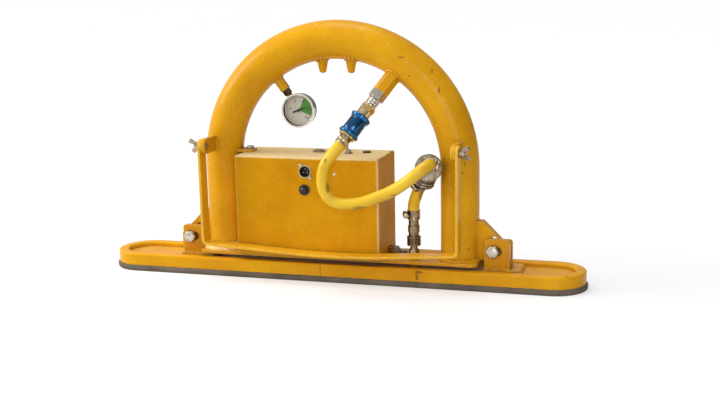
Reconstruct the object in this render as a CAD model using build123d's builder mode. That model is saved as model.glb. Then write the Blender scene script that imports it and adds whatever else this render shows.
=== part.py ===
from build123d import *

import os
from math import cos, pi, radians, sin, tan

os.makedirs("parts", exist_ok=True)

# Vacuum lifter. X runs along the pad, Y away from the front, Z up.
# The origin is under the middle of the pad, on the stone that it lifts.

# Pad
pad_length = 950.0
pad_width = 122.0
seal_thickness = 11.0
seal_width = 30.0
seal_overhang = 3.0
rim_width = 20.0
rim_height = 24.0
rim_edge_radius = 4.0
pad_plate_thickness = 12.0
tray_depth = 9.0

# Pad lugs, doublers and bolts
lug_line_gap = 30.0
bolt_shift = -3.0
bolt_z = 67.0
bolt_diameter = 14.0
bolt_hole_clearance = 0.5
bolt_head_flats = 22.0
bolt_head_height = 12.0
bolt_head_chamfer = 1.6
nut_height = 11.0
nut_gap = 0.05
bolt_tail = 4.0
lug_width = 48.0
lug_shift = 4.0
lug_thickness = 8.0
lug_corner_radius = 7.0
lug_rise = 23.0
lug_rear_drop = 6.5
lug_gap = 0.5
slot_height = 17.0
slot_travel = 8.0
doubler_thickness = 8.0
doubler_depth = 60.0
doubler_inner_lap = 1.0
doubler_outer_lap = 22.0
doubler_chamfer = 4.0

# Arch
tube_diameter = 73.0
tube_wall = 5.0
bend_radius = 237.0
spring_height = 220.0
base_plate_lap = 3.5
base_plate_depth = 98.0
base_plate_thickness = 6.0
base_plate_gap = 6.0
base_plate_chamfer = 7.0
base_plate_corner = 5.0
gusset_thickness = 20.0
gusset_lap = 26.0
gusset_end_height = 23.0
gusset_shoulder = 8.5
gusset_top = 121.0
chain_hole_diameter = 12.0
chain_hole_inset = 8.0
chain_hole_shift = 5.0
chain_hole_z = 87.0

# Hook-centring studs under the crown
hook_lug_x = 28.2
hook_lug_drop = 26.5
hook_lug_root = 24.0
hook_lug_tip = 12.0
hook_lug_edge_radius = 5.0

# Front bail and its pivots
pivot_reach = 43.5
pivot_rise = 40.0
pivot_diameter = 8.0
pivot_fit = 0.1
bail_width = 28.0
bail_thickness = 5.0
bail_arm_offset = 13.0
bail_bar_z = 71.0
bail_sag = 15.0
bail_sag_x = 20.0
bail_corner_radius = 9.0
bail_sag_radius = 1500.0
bail_lug_thickness = 8.5
bail_lug_height = 29.0
bail_side_gap = 0.3
pivot_head_flats = 10.0
pivot_head_height = 2.5
pivot_tail = 2.0
wing_hub_diameter = 15.0
wing_hub_length = 10.0
wing_length = 21.0
wing_span = 17.5
wing_turn = 34.0
wing_thickness = 4.2
wing_setback = 1.0
wing_shoulder = 5.0
wing_tip_height = 8.0
wing_web = 2.0
wing_edge_radius = 1.2

# Pump box
box_leg_gap = 8.5
coupler_bay = 105.5
box_front = -62.0
box_back = 54.0
box_top = 240.0
sheet = 2.0
box_edge_radius = 3.0
back_flange = 14.0
screw_diameter = 4.0
screw_head_diameter = 8.0
screw_head_height = 2.6
screw_length = 8.0
screw_hole_gap = 0.2
screw_inset = 8.0

# Box fittings
tab_thickness = 5.0
tab_width = 32.0
tab_corner_radius = 8.0
tab_lap = 20.0
tab_bolt_inset = 10.0
tab_bolt_diameter = 8.0
tab_bolt_flats = 13.0
tab_bolt_head = 5.5
clip_top_length = 15.0
clip_slope_length = 6.0
clip_foot_length = 13.0
clip_width = 20.0
clip_height = 12.0
clip_thickness = 3.0
clip_y = 12.0
clip_bolt_diameter = 6.0
clip_bolt_flats = 10.0
clip_bolt_head = 4.0
socket_offset = 0.5
socket_z = 214.0
socket_ring_diameter = 24.0
socket_ring_height = 2.5
socket_body_diameter = 21.0
socket_body_depth = 22.0
socket_recess_diameter = 18.0
socket_recess_depth = 12.0
socket_pin_diameter = 2.6
socket_pin_circle = 4.6
socket_pin_recess = 4.5
socket_screw_dx = 9.5
socket_screw_dz = 12.0
socket_screw_diameter = 3.0
button_offset = -1.5
button_z = 179.0
button_ring_diameter = 20.5
button_ring_height = 3.0
button_diameter = 15.0
button_height = 7.0
button_depth = 14.0
button_gap = 0.2
button_edge_radius = 3.5
lamp_offset = 59.0
lamp_z = 210.5
lamp_diameter = 5.0
lamp_rise = 2.0
lamp_depth = 9.0
toggle_offset = 66.5
toggle_y = 4.0
toggle_bush_diameter = 11.0
toggle_bush_height = 7.0
toggle_nut_flats = 14.0
toggle_nut_height = 2.5
toggle_bore = 7.4
toggle_ball_diameter = 7.0
toggle_ball_cover = 0.5
toggle_lever_length = 15.0
toggle_lever_root = 3.2
toggle_lever_tip = 5.0
toggle_tip_radius = 1.6
toggle_lean = 12.0
toggle_body_length = 26.0
toggle_body_width = 13.0
toggle_body_depth = 20.0
buzzer_offset = 98.5
buzzer_y = 20.0
buzzer_diameter = 16.0
buzzer_rise = 3.0
buzzer_edge_radius = 1.0
buzzer_stem = 13.0
buzzer_depth = 12.0
ring_offset = 4.5
ring_y = 14.0
ring_radius = 12.0
ring_wire = 2.6
ring_lift = 1.6
staple_length = 12.0
staple_wall = 1.6
staple_foot = 13.0

# Pump, battery and switch inside the box
battery_length = 90.0
battery_depth = 70.0
battery_height = 101.0
battery_gap = 8.0
battery_y = -8.0
battery_edge_radius = 2.0
terminal_height = 6.0
terminal_width = 6.0
terminal_thickness = 1.0
terminal_spacing = 60.0
motor_diameter = 56.0
pump_gap = 1.0
motor_length = 75.0
motor_wall = 4.0
motor_foot = 6.0
motor_foot_length = 52.0
motor_foot_depth = 40.0
motor_end_wall = 5.0
shaft_diameter = 8.0
shaft_fit = 0.1
rotor_diameter = 40.0
rotor_length = 45.0
eccentric_diameter = 18.0
eccentric_throw = 3.0
eccentric_length = 10.0
shaft_overhang = 30.0
head_length = 42.0
head_depth = 60.0
head_top = 130.0
crank_bore = 30.0
crank_depth = 36.0
cap_diameter = 52.0
cap_height = 16.0
nipple_diameter = 8.0
nipple_rise = 10.0
tube_line_z = 205.0
tube_line_diameter = 11.0
tube_line_bore = 6.0
tube_line_bend = 24.0
switch_inset = 72.0
switch_length = 36.0
switch_depth = 30.0
switch_height = 44.0
switch_edge_radius = 2.0
reservoir_nipple_diameter = 12.0
reservoir_nipple_inside = 10.0

# Gauge
gauge_angle = 126.5
gauge_boss_flats = 17.0
gauge_boss_end = 62.0
gauge_stem_flats = 14.0
gauge_stem_hex = 10.0
gauge_stem_diameter = 11.0
gauge_reach = 109.0
gauge_radius = 31.3
gauge_wall = 2.0
gauge_front = 12.0
gauge_back = 6.5
bezel_wall = 1.5
bezel_lip = 1.8
bezel_skirt = 6.0
lens_thickness = 2.0
dial_front = 6.0
dial_thickness = 1.0
pointer_angle = 20.0
pointer_length = 23.0
pointer_tail = 13.0
pointer_thickness = 0.8
pointer_plane = 9.0
pointer_gap = 0.3
arbor_diameter = 2.0
arbor_fit = 0.1
arbor_depth = 4.0
hub_radius = 3.0

# Valve train, measured along its axis from the middle of the tube
valve_angle = 56.3
valve_lean = 30.0
passage_diameter = 10.0
valve_boss_flats = 27.0
valve_boss_end = 76.5
steel_hex_flats = 27.0
steel_hex_length = 15.0
steel_neck_diameter = 22.5
steel_neck_length = 18.5
brass_flats = 24.5
brass_length = 11.0
brass_ring_diameter = 27.0
brass_ring_length = 3.5
valve_core_diameter = 27.0
valve_core_length = 57.0
valve_flange_diameter = 32.0
valve_flange_length = 4.0
valve_nut_flats = 20.0
valve_nut_length = 7.0
valve_bore = 8.0
sleeve_diameter = 36.5
sleeve_collar_diameter = 40.5
sleeve_collar_length = 7.0
sleeve_length = 44.0
sleeve_fit = 0.1
sleeve_end_gap = 0.5

# Hoses, clamps, filter and coupler
hose_diameter = 22.0
hose_bore = 16.2
barb_diameter = 16.0
barb_length = 12.0
valve_clamp_width = 10.0
coupler_clamp_width = 17.0
coupler_clamp_turn = 20.4
clamp_band = 1.2
clamp_gap = 0.1
clamp_lead = 1.0
clamp_house_length = 14.0
clamp_house_width = 9.0
clamp_house_height = 7.0
clamp_house_radius = 2.3
filter_dx = 14.9
filter_dy = -11.2
filter_outlet_z = 173.3
filter_axis = (0.361, -0.228, 0.903)
filter_foot = 21.0
filter_foot_cap = 8.0
filter_foot_diameter = 38.0
filter_cone_length = 15.5
filter_head_length = 25.5
filter_head_diameter = 42.0
filter_edge = 3.0
filter_drum_height = 57.0
filter_drum_diameter = 50.0
filter_drum_back = 8.0
filter_drum_front = 26.5
filter_drum_edge = 3.0
filter_nipple_length = 9.0
filter_nipple_shift = 5.0
inlet_axis = (0.22, -0.955, 0.20)
inlet_height = 63.0
inlet_reach = 39.5
hose_end_reach = 33.0
hose_entry_length = 17.0
hose_lead_length = 23.0
short_hose_rise = 32.0
filter_lead_length = 16.0
arc_share = 0.45
coupler_leg_gap = 48.5
port_edge_gap = 10.0
port_diameter = 22.0
port_height = 24.0
port_bore = 12.0
port_hole_gap = 4.0
plug_flats = 17.5
plug_hex_height = 14.0
plug_cone_height = 4.0
plug_neck_diameter = 14.0
plug_spigot = 14.0
plug_fit = 0.1
sleeve_gap_to_plug = 4.0
coupler_sleeve_diameter = 27.0
coupler_sleeve_height = 18.0
coupler_slide = 8.0
coupler_sleeve_chamfer = 1.0
coupler_core_diameter = 19.8
coupler_sleeve_fit = 0.1
coupler_body_diameter = 22.5
coupler_body_height = 12.0
coupler_neck_diameter = 19.6
coupler_neck_height = 12.0
coupler_barb_length = 12.0
coupler_bore = 8.0

# Points of the long hose's loop, the first ones from its start at the valve
loop_from_valve = [
    (-27.7, -19.5, -37.0),
    (-35.7, -21.5, -57.0),
    (-36.7, -22.5, -78.0),
    (-31.7, -22.5, -97.0),
    (-16.7, -22.5, -112.5),
    (8.3, -22.5, -115.5),
]
loop_to_filter = [
    (-118.9, -40.1, -67.3),
    (-89.9, -40.1, -56.3),
    (-59.9, -41.1, -43.6),
    (-33.9, -42.0, -26.3),
    (-11.9, -42.3, -8.3),
    (-0.9, -32.3, 0.5),
]

# Places worked out from the sizes above
rim_bottom = seal_thickness
rim_top = rim_bottom + rim_height
tray_floor = rim_top - tray_depth
pad_plate_bottom = tray_floor - pad_plate_thickness
tray_length = pad_length - 2 * rim_width
tray_width = pad_width - 2 * rim_width
doubler_top = tray_floor + doubler_thickness
lug_top = bolt_z + lug_rise
lug_inner = gusset_thickness / 2 + lug_gap
lug_outer = lug_inner + lug_thickness
base_bottom = rim_top + base_plate_gap
base_top = base_bottom + base_plate_thickness
tube_radius = tube_diameter / 2
tube_bore_radius = tube_radius - tube_wall
leg_outer_face = bend_radius + tube_radius
base_plate_end = leg_outer_face + base_plate_lap
lug_line = base_plate_end + lug_line_gap
gusset_reach = lug_line + gusset_lap
bend_centre = (0, 0, spring_height)
pivot_z = spring_height + pivot_rise
bend_axis = Axis(bend_centre, (0, -1, 0))
crown_under = spring_height + bend_radius - tube_radius
leg_inner_face = bend_radius - tube_radius

pivot_y = -tube_radius - pivot_reach
bail_arm_x = bend_radius + bail_arm_offset
bail_lug_x = bail_arm_x - bail_thickness / 2 - bail_side_gap - bail_lug_thickness
wing_x = bail_arm_x + bail_thickness / 2 + bail_side_gap
wing_up = (0, -sin(radians(wing_turn)), cos(radians(wing_turn)))
wing_normal = (0, -cos(radians(wing_turn)), -sin(radians(wing_turn)))

box_left = box_leg_gap - leg_inner_face
box_right = leg_inner_face - coupler_bay
box_width = box_right - box_left
box_depth = box_back - box_front
box_height = box_top - base_top
box_x = (box_left + box_right) / 2
box_y = (box_front + box_back) / 2
box_z = (box_top + base_top) / 2
floor_z = base_top + sheet
ceiling_z = box_top - sheet
front_plane = Plane.XZ.offset(-box_front)
top_plane = Plane.XY.offset(box_top)
cover_plane = Plane.XZ.offset(-box_back)
tab_end_x = box_left + tab_lap
tab_bolt_x = box_left + tab_bolt_inset
clip_slope_end = box_right + clip_top_length + clip_slope_length
clip_end = clip_slope_end + clip_foot_length
clip_bolt_x = clip_slope_end + clip_foot_length / 2
clip_top = base_top + clip_height
socket_x = box_x + socket_offset
button_x = box_x + button_offset
ring_x = box_x + ring_offset
lamp_x = box_x + lamp_offset
toggle_x = box_x + toggle_offset
buzzer_x = box_x + buzzer_offset

battery_x = box_left + sheet + battery_gap + battery_length / 2
motor_start = box_right - sheet - pump_gap - head_length - motor_length
switch_x = box_left + switch_inset
shaft_z = floor_z + motor_foot + motor_diameter / 2
motor_end = motor_start + motor_length
motor_plane = Plane(origin=(motor_start, 0, shaft_z), x_dir=(0, 1, 0), z_dir=(1, 0, 0))
head_plane = motor_plane.offset(motor_length)
head_x = motor_end + head_length / 2
cap_top = head_top + cap_height
switch_left = switch_x - switch_length / 2
switch_right = switch_x + switch_length / 2
nipple_end = box_left + sheet + reservoir_nipple_inside


def tube_point(angle):
    """Middle of the bent tube at an angle from the +X side."""
    turn = radians(angle)
    return Vector(bend_radius * cos(turn), 0, spring_height + bend_radius * sin(turn))


def inward(angle, lean=0.0):
    """Direction from the tube to the middle of the arch, leaned to the front."""
    turn = radians(angle)
    forward = radians(lean)
    return Vector(-cos(turn) * cos(forward), -sin(forward), -sin(turn) * cos(forward))


gauge_plane = Plane(origin=tube_point(gauge_angle), x_dir=(0, 1, 0), z_dir=inward(gauge_angle))
gauge_centre = tube_point(gauge_angle) + inward(gauge_angle) * gauge_reach
dial_plane = Plane(origin=gauge_centre, x_dir=(1, 0, 0), z_dir=(0, -1, 0))
blade_direction = (cos(radians(pointer_angle)), 0, sin(radians(pointer_angle)))
blade_plane = Plane(origin=gauge_centre, x_dir=blade_direction, z_dir=(0, -1, 0))
valve_plane = Plane(
    origin=tube_point(valve_angle),
    x_dir=(sin(radians(valve_angle)), 0, -cos(radians(valve_angle))),
    z_dir=inward(valve_angle, valve_lean),
)
steel_end = valve_boss_end + steel_hex_length + steel_neck_length
brass_end = steel_end + brass_length
core_end = brass_end + valve_core_length
flange_end = core_end + valve_flange_length
valve_end = flange_end + valve_nut_length
barb_end = valve_end + barb_length
sleeve_end = core_end - sleeve_end_gap
sleeve_start = sleeve_end - sleeve_length

coupler_x = leg_inner_face - coupler_leg_gap
coupler_y = port_diameter / 2 + port_edge_gap - tray_width / 2
filter_outlet = (coupler_x + filter_dx, coupler_y + filter_dy, filter_outlet_z)
filter_plane = Plane(origin=filter_outlet, x_dir=(0, 1, 0), z_dir=filter_axis)
outlet_centre = filter_plane.origin + filter_plane.y_dir * filter_nipple_shift
outlet_plane = Plane(origin=outlet_centre, x_dir=(0, 1, 0), z_dir=filter_axis)
filter_cone_start = filter_foot + filter_foot_cap
filter_cone_end = filter_cone_start + filter_cone_length
filter_end = filter_cone_end + filter_head_length
inlet_centre = filter_plane.origin + filter_plane.z_dir * inlet_height
inlet_plane = Plane(origin=inlet_centre, z_dir=inlet_axis)
drum_centre = filter_plane.origin + filter_plane.z_dir * filter_drum_height
drum_plane = Plane(origin=drum_centre, z_dir=inlet_axis)

port_top = tray_floor + port_height
plug_cone_start = port_top + plug_hex_height
plug_neck_start = plug_cone_start + plug_cone_height
coupler_start = plug_neck_start + sleeve_gap_to_plug
coupler_shoulder = coupler_start + coupler_sleeve_height + coupler_slide
coupler_body_end = coupler_shoulder + coupler_body_height
coupler_neck_end = coupler_body_end + coupler_neck_height
coupler_barb_end = coupler_neck_end + coupler_barb_length
coupler_plane = Plane(origin=(coupler_x, coupler_y, 0))


def cut_bend():
    """Takes the outer shape of the bend and the legs away from the piece being made."""
    with BuildSketch(Plane.XY.offset(spring_height)) as tube_outline:
        with Locations((bend_radius, 0)):
            Circle(tube_radius)
    revolve(tube_outline.sketch, axis=bend_axis, revolution_arc=180, mode=Mode.SUBTRACT)
    for side in (-1, 1):
        leg_plane = Plane(origin=(side * bend_radius, 0, 0))
        round_bar(leg_plane, base_top, spring_height, tube_diameter, Mode.SUBTRACT)


def hexagon(flats):
    """Hexagon across its flats, in the sketch being made."""
    RegularPolygon(radius=flats / 2, side_count=6, major_radius=False)


def round_bar(plane, start, end, diameter, mode=Mode.ADD):
    """Round bar along a plane's normal, from start to end."""
    with BuildSketch(plane.offset(start)) as disc:
        Circle(diameter / 2)
    extrude(disc.sketch, amount=end - start, mode=mode)


def hex_bar(plane, start, end, flats):
    """Hexagon bar along a plane's normal, from start to end."""
    with BuildSketch(plane.offset(start)) as hexagon_face:
        hexagon(flats)
    extrude(hexagon_face.sketch, amount=end - start)


# Foam seal under the rim: one soft ring that closes the vacuum space
with BuildPart() as pad_seal:
    seal_length = pad_length + 2 * seal_overhang
    seal_span = pad_width + 2 * seal_overhang
    with BuildSketch():
        SlotOverall(seal_length, seal_span)
        SlotOverall(seal_length - 2 * seal_width, seal_span - 2 * seal_width, mode=Mode.SUBTRACT)
    extrude(amount=seal_thickness)
pad_seal.part.label = "pad_seal"
export_step(pad_seal.part, "parts/pad_seal.step")

# Rim bar bent round the pad
with BuildPart() as pad_rim:
    with BuildSketch(Plane.XY.offset(rim_bottom)):
        SlotOverall(pad_length, pad_width)
        SlotOverall(tray_length, tray_width, mode=Mode.SUBTRACT)
    extrude(amount=rim_height)
    fillet(pad_rim.faces().sort_by(Axis.Z)[-1].edges(), rim_edge_radius)
pad_rim.part.label = "pad_rim"
export_step(pad_rim.part, "parts/pad_rim.step")

# Pad plate inside the rim, with the suction port drilled through it
with BuildPart() as pad_plate:
    with BuildSketch(Plane.XY.offset(pad_plate_bottom)):
        SlotOverall(tray_length, tray_width)
        with Locations((coupler_x, coupler_y)):
            Circle(port_bore / 2, mode=Mode.SUBTRACT)
    extrude(amount=pad_plate_thickness)
pad_plate.part.label = "pad_plate"
export_step(pad_plate.part, "parts/pad_plate.step")

# Doubler plates welded under the lugs
with BuildPart() as doubler_plates:
    with BuildSketch(Plane.XY.offset(tray_floor)):
        for side in (-1, 1):
            lug_middle = side * lug_line + lug_shift
            doubler_start = lug_middle - lug_width / 2 - doubler_inner_lap
            doubler_end = lug_middle + lug_width / 2 + doubler_outer_lap
            with Locations(((doubler_start + doubler_end) / 2, 0)):
                Rectangle(doubler_end - doubler_start, doubler_depth)
    extrude(amount=doubler_thickness)
    for plate in doubler_plates.solids():
        outer_end = plate.faces().sort_by(Axis.X)[-1]
        chamfer(outer_end.edges().sort_by(Axis.Z)[-1], doubler_chamfer)
doubler_plates.part.label = "doubler_plates"
export_step(doubler_plates.part, "parts/doubler_plates.step")

# Slotted lugs in pairs, one pair at each end of the arch
with BuildPart() as pad_lugs:
    for side in (-1, 1):
        lug_middle = side * lug_line + lug_shift
        slot_middle = side * lug_line + bolt_shift + slot_travel / 2
        for facing, top in ((1, lug_top), (-1, lug_top - lug_rear_drop)):
            with BuildSketch(Plane.XZ.offset(facing * lug_inner)) as lug_outline:
                with Locations((lug_middle, (doubler_top + top) / 2)):
                    Rectangle(lug_width, top - doubler_top)
                fillet(lug_outline.vertices().group_by(Axis.Y)[-1], lug_corner_radius)
                with Locations((slot_middle, bolt_z)):
                    SlotCenterToCenter(slot_travel, slot_height, mode=Mode.SUBTRACT)
            extrude(amount=facing * lug_thickness)
pad_lugs.part.label = "pad_lugs"
export_step(pad_lugs.part, "parts/pad_lugs.step")

# Hex bolts through the lugs and gussets, heads at the front
with BuildPart() as pad_bolts:
    bolt_length = 2 * lug_outer + nut_height + bolt_tail
    for side in (-1, 1):
        with BuildSketch(Plane.XZ.offset(lug_outer)):
            with Locations((side * lug_line + bolt_shift, bolt_z)):
                hexagon(bolt_head_flats)
        extrude(amount=bolt_head_height)
        with BuildSketch(Plane.XZ.offset(lug_outer)):
            with Locations((side * lug_line + bolt_shift, bolt_z)):
                Circle(bolt_diameter / 2)
        extrude(amount=-bolt_length)
    for head in pad_bolts.faces().group_by(Axis.Y)[0]:
        chamfer(head.edges(), bolt_head_chamfer)
pad_bolts.part.label = "pad_bolts"
export_step(pad_bolts.part, "parts/pad_bolts.step")

# Nuts behind the rear lugs
with BuildPart() as pad_nuts:
    for side in (-1, 1):
        with BuildSketch(Plane.XZ.offset(-lug_outer)):
            with Locations((side * lug_line + bolt_shift, bolt_z)):
                hexagon(bolt_head_flats)
                Circle(bolt_diameter / 2 + nut_gap, mode=Mode.SUBTRACT)
        extrude(amount=-nut_height)
pad_nuts.part.label = "pad_nuts"
export_step(pad_nuts.part, "parts/pad_nuts.step")

# Boss on the pad plate that takes the plug of the suction line
with BuildPart() as pad_port:
    with BuildSketch(coupler_plane.offset(tray_floor)):
        Circle(port_diameter / 2)
        Circle(port_bore / 2, mode=Mode.SUBTRACT)
    extrude(amount=port_height)
pad_port.part.label = "pad_port"
export_step(pad_port.part, "parts/pad_port.step")

# Half-round bend: lifting arch and vacuum reservoir in one tube
with BuildPart() as arch_bend:
    with BuildSketch(Plane.XY.offset(spring_height)):
        with Locations((bend_radius, 0)):
            Circle(tube_radius)
            Circle(tube_bore_radius, mode=Mode.SUBTRACT)
    revolve(axis=bend_axis, revolution_arc=180)
    for branch in (gauge_plane, valve_plane):
        round_bar(branch, 0, tube_diameter, passage_diameter, Mode.SUBTRACT)
arch_bend.part.label = "arch_bend"
export_step(arch_bend.part, "parts/arch_bend.step")

# Straight legs welded under the bend
with BuildPart() as left_leg:
    with BuildSketch(Plane.XY.offset(base_top)):
        with Locations((-bend_radius, 0)):
            Circle(tube_radius)
            Circle(tube_bore_radius, mode=Mode.SUBTRACT)
    extrude(amount=spring_height - base_top)
    nipple_plane = Plane(origin=(-bend_radius, 0, tube_line_z), z_dir=(1, 0, 0))
    round_bar(nipple_plane, 0, tube_diameter, tube_line_bore, Mode.SUBTRACT)
left_leg.part.label = "left_leg"
export_step(left_leg.part, "parts/left_leg.step")

with BuildPart() as right_leg:
    with BuildSketch(Plane.XY.offset(base_top)):
        with Locations((bend_radius, 0)):
            Circle(tube_radius)
            Circle(tube_bore_radius, mode=Mode.SUBTRACT)
    extrude(amount=spring_height - base_top)
right_leg.part.label = "right_leg"
export_step(right_leg.part, "parts/right_leg.step")

# Flat base plate that ties the legs together and carries the box
with BuildPart() as base_plate:
    with BuildSketch(Plane.XY.offset(base_bottom)) as base_outline:
        Rectangle(2 * base_plate_end, base_plate_depth)
        ends = base_outline.vertices().group_by(Axis.X)
        chamfer(ends[-1], base_plate_chamfer)
        fillet(ends[0], base_plate_corner)
        with Locations((coupler_x, coupler_y)):
            Circle(port_diameter / 2 + port_hole_gap, mode=Mode.SUBTRACT)
        with Locations((clip_bolt_x, clip_y)):
            Circle(clip_bolt_diameter / 2, mode=Mode.SUBTRACT)
    extrude(amount=base_plate_thickness)
base_plate.part.label = "base_plate"
export_step(base_plate.part, "parts/base_plate.step")

# Gussets from the legs out between the pad lugs, each with a chain hole
with BuildPart() as gussets:
    with BuildSketch(Plane.XZ):
        with BuildLine():
            Polyline(
                (bend_radius, base_top),
                (gusset_reach, base_top),
                (gusset_reach, base_top + gusset_end_height),
                (leg_outer_face + gusset_shoulder, gusset_top),
                (bend_radius, gusset_top),
                close=True,
            )
        make_face()
    extrude(amount=gusset_thickness / 2, both=True)
    mirror(about=Plane.YZ)
    cut_bend()
    with BuildSketch(Plane.XZ):
        for side in (-1, 1):
            with Locations((side * lug_line + bolt_shift, bolt_z)):
                Circle((bolt_diameter + bolt_hole_clearance) / 2)
            with Locations((side * (lug_line - chain_hole_inset) + chain_hole_shift, chain_hole_z)):
                Circle(chain_hole_diameter / 2)
    extrude(amount=gusset_thickness, both=True, mode=Mode.SUBTRACT)
gussets.part.label = "gussets"
export_step(gussets.part, "parts/gussets.step")

# Tapered studs under the crown that keep a crane hook in the middle
with BuildPart() as hook_lugs:
    stud_bottom = crown_under - hook_lug_drop
    stud_height = hook_lug_drop + tube_wall
    for side in (-1, 1):
        with Locations((side * hook_lug_x, 0, stud_bottom + stud_height / 2)):
            Cone(hook_lug_tip / 2, hook_lug_root / 2, stud_height)
    fillet(hook_lugs.edges().group_by(Axis.Z)[0], hook_lug_edge_radius)
    cut_bend()
hook_lugs.part.label = "hook_lugs"
export_step(hook_lugs.part, "parts/hook_lugs.step")

# Welded hex bosses for the gauge and the valve
with BuildPart() as gauge_boss:
    hex_bar(gauge_plane, tube_bore_radius, gauge_boss_end, gauge_boss_flats)
    cut_bend()
    round_bar(gauge_plane, 0, gauge_boss_end, passage_diameter, Mode.SUBTRACT)
gauge_boss.part.label = "gauge_boss"
export_step(gauge_boss.part, "parts/gauge_boss.step")

with BuildPart() as valve_boss:
    hex_bar(valve_plane, tube_bore_radius, valve_boss_end, valve_boss_flats)
    cut_bend()
    round_bar(valve_plane, 0, valve_boss_end, passage_diameter, Mode.SUBTRACT)
valve_boss.part.label = "valve_boss"
export_step(valve_boss.part, "parts/valve_boss.step")

# Plates on the front of the arch that carry the bail's pivots
with BuildPart() as bail_lugs:
    with BuildSketch(Plane.YZ.offset(bail_lug_x)):
        with Locations((pivot_y / 2, pivot_z)):
            Rectangle(-pivot_y, bail_lug_height)
        with Locations((pivot_y, pivot_z)):
            Circle(bail_lug_height / 2)
            Circle((pivot_diameter + pivot_fit) / 2, mode=Mode.SUBTRACT)
    extrude(amount=bail_lug_thickness)
    cut_bend()
    split(bisect_by=Plane.XZ, keep=Keep.TOP)
    mirror(about=Plane.YZ)
bail_lugs.part.label = "bail_lugs"
export_step(bail_lugs.part, "parts/bail_lugs.step")

# Front bail: flat bar bent to a U, with a slack lower bar
with BuildPart() as bail:
    with BuildLine() as bail_path:
        FilletPolyline(
            (-bail_arm_x, pivot_y, pivot_z),
            (-bail_arm_x, pivot_y, bail_bar_z),
            (bail_sag_x, pivot_y, bail_bar_z - bail_sag),
            (bail_arm_x, pivot_y, bail_bar_z),
            (bail_arm_x, pivot_y, pivot_z),
            radius=[bail_corner_radius, bail_sag_radius, bail_corner_radius],
        )
    with BuildSketch(Plane.XY.offset(pivot_z)):
        with Locations((-bail_arm_x, pivot_y)):
            Rectangle(bail_thickness, bail_width)
    sweep(path=bail_path.line)
    for side in (-1, 1):
        eye_plane = Plane(origin=(side * bail_arm_x, pivot_y, pivot_z), z_dir=(1, 0, 0))
        round_bar(eye_plane, -bail_thickness / 2, bail_thickness / 2, bail_width)
        round_bar(eye_plane, -bail_thickness, bail_thickness, pivot_diameter + pivot_fit, Mode.SUBTRACT)
bail.part.label = "bail"
export_step(bail.part, "parts/bail.step")

# Pivot bolts, heads between the plates, tails out through the wing nuts
with BuildPart() as bail_bolts:
    pivot_plane = Plane(origin=(bail_lug_x, pivot_y, pivot_z), z_dir=(1, 0, 0))
    pivot_tail_end = wing_x + wing_hub_length + pivot_tail - bail_lug_x
    hex_bar(pivot_plane, -pivot_head_height, 0, pivot_head_flats)
    round_bar(pivot_plane, 0, pivot_tail_end, pivot_diameter)
    mirror(about=Plane.YZ)
bail_bolts.part.label = "bail_bolts"
export_step(bail_bolts.part, "parts/bail_bolts.step")


def wing_nut():
    """Wing nut on the right pivot, its upper wing turned to the front."""
    nut_origin = (wing_x, pivot_y, pivot_z)
    nut_plane = Plane(origin=nut_origin, z_dir=(1, 0, 0))
    round_bar(nut_plane, 0, wing_hub_length, wing_hub_diameter)
    with BuildSketch(Plane(origin=nut_origin, x_dir=(1, 0, 0), z_dir=wing_normal)) as wing_outline:
        with BuildLine():
            root = wing_hub_diameter / 2
            FilletPolyline(
                (wing_setback, 0),
                (wing_setback, root),
                (wing_hub_length, wing_span - wing_shoulder),
                (wing_length - wing_shoulder, wing_span),
                (wing_length, wing_span - wing_tip_height),
                (wing_hub_length, root - wing_web),
                (wing_hub_length, 0),
                radius=wing_edge_radius,
                close=True,
            )
        make_face()
    wing = extrude(wing_outline.sketch, amount=wing_thickness / 2, both=True)
    mirror(wing, about=Plane(origin=nut_origin, x_dir=(1, 0, 0), z_dir=wing_up))
    round_bar(nut_plane, 0, wing_length, pivot_diameter + pivot_fit, Mode.SUBTRACT)


with BuildPart() as right_wing_nut:
    wing_nut()
right_wing_nut.part.label = "right_wing_nut"
export_step(right_wing_nut.part, "parts/right_wing_nut.step")

with BuildPart() as left_wing_nut:
    wing_nut()
    mirror(about=Plane.YZ)
    split(bisect_by=Plane.YZ, keep=Keep.BOTTOM)
left_wing_nut.part.label = "left_wing_nut"
export_step(left_wing_nut.part, "parts/left_wing_nut.step")

cover_screw_x = [box_left + screw_inset, box_x, box_right - screw_inset]
cover_screw_z = [base_top + screw_inset, box_z, box_top - screw_inset]
cover_screw_places = [(x, z) for x in cover_screw_x for z in cover_screw_z if (x, z) != (box_x, box_z)]
socket_screw_places = [
    (socket_x - socket_screw_dx, socket_z + socket_screw_dz),
    (socket_x + socket_screw_dx, socket_z - socket_screw_dz),
]

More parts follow.
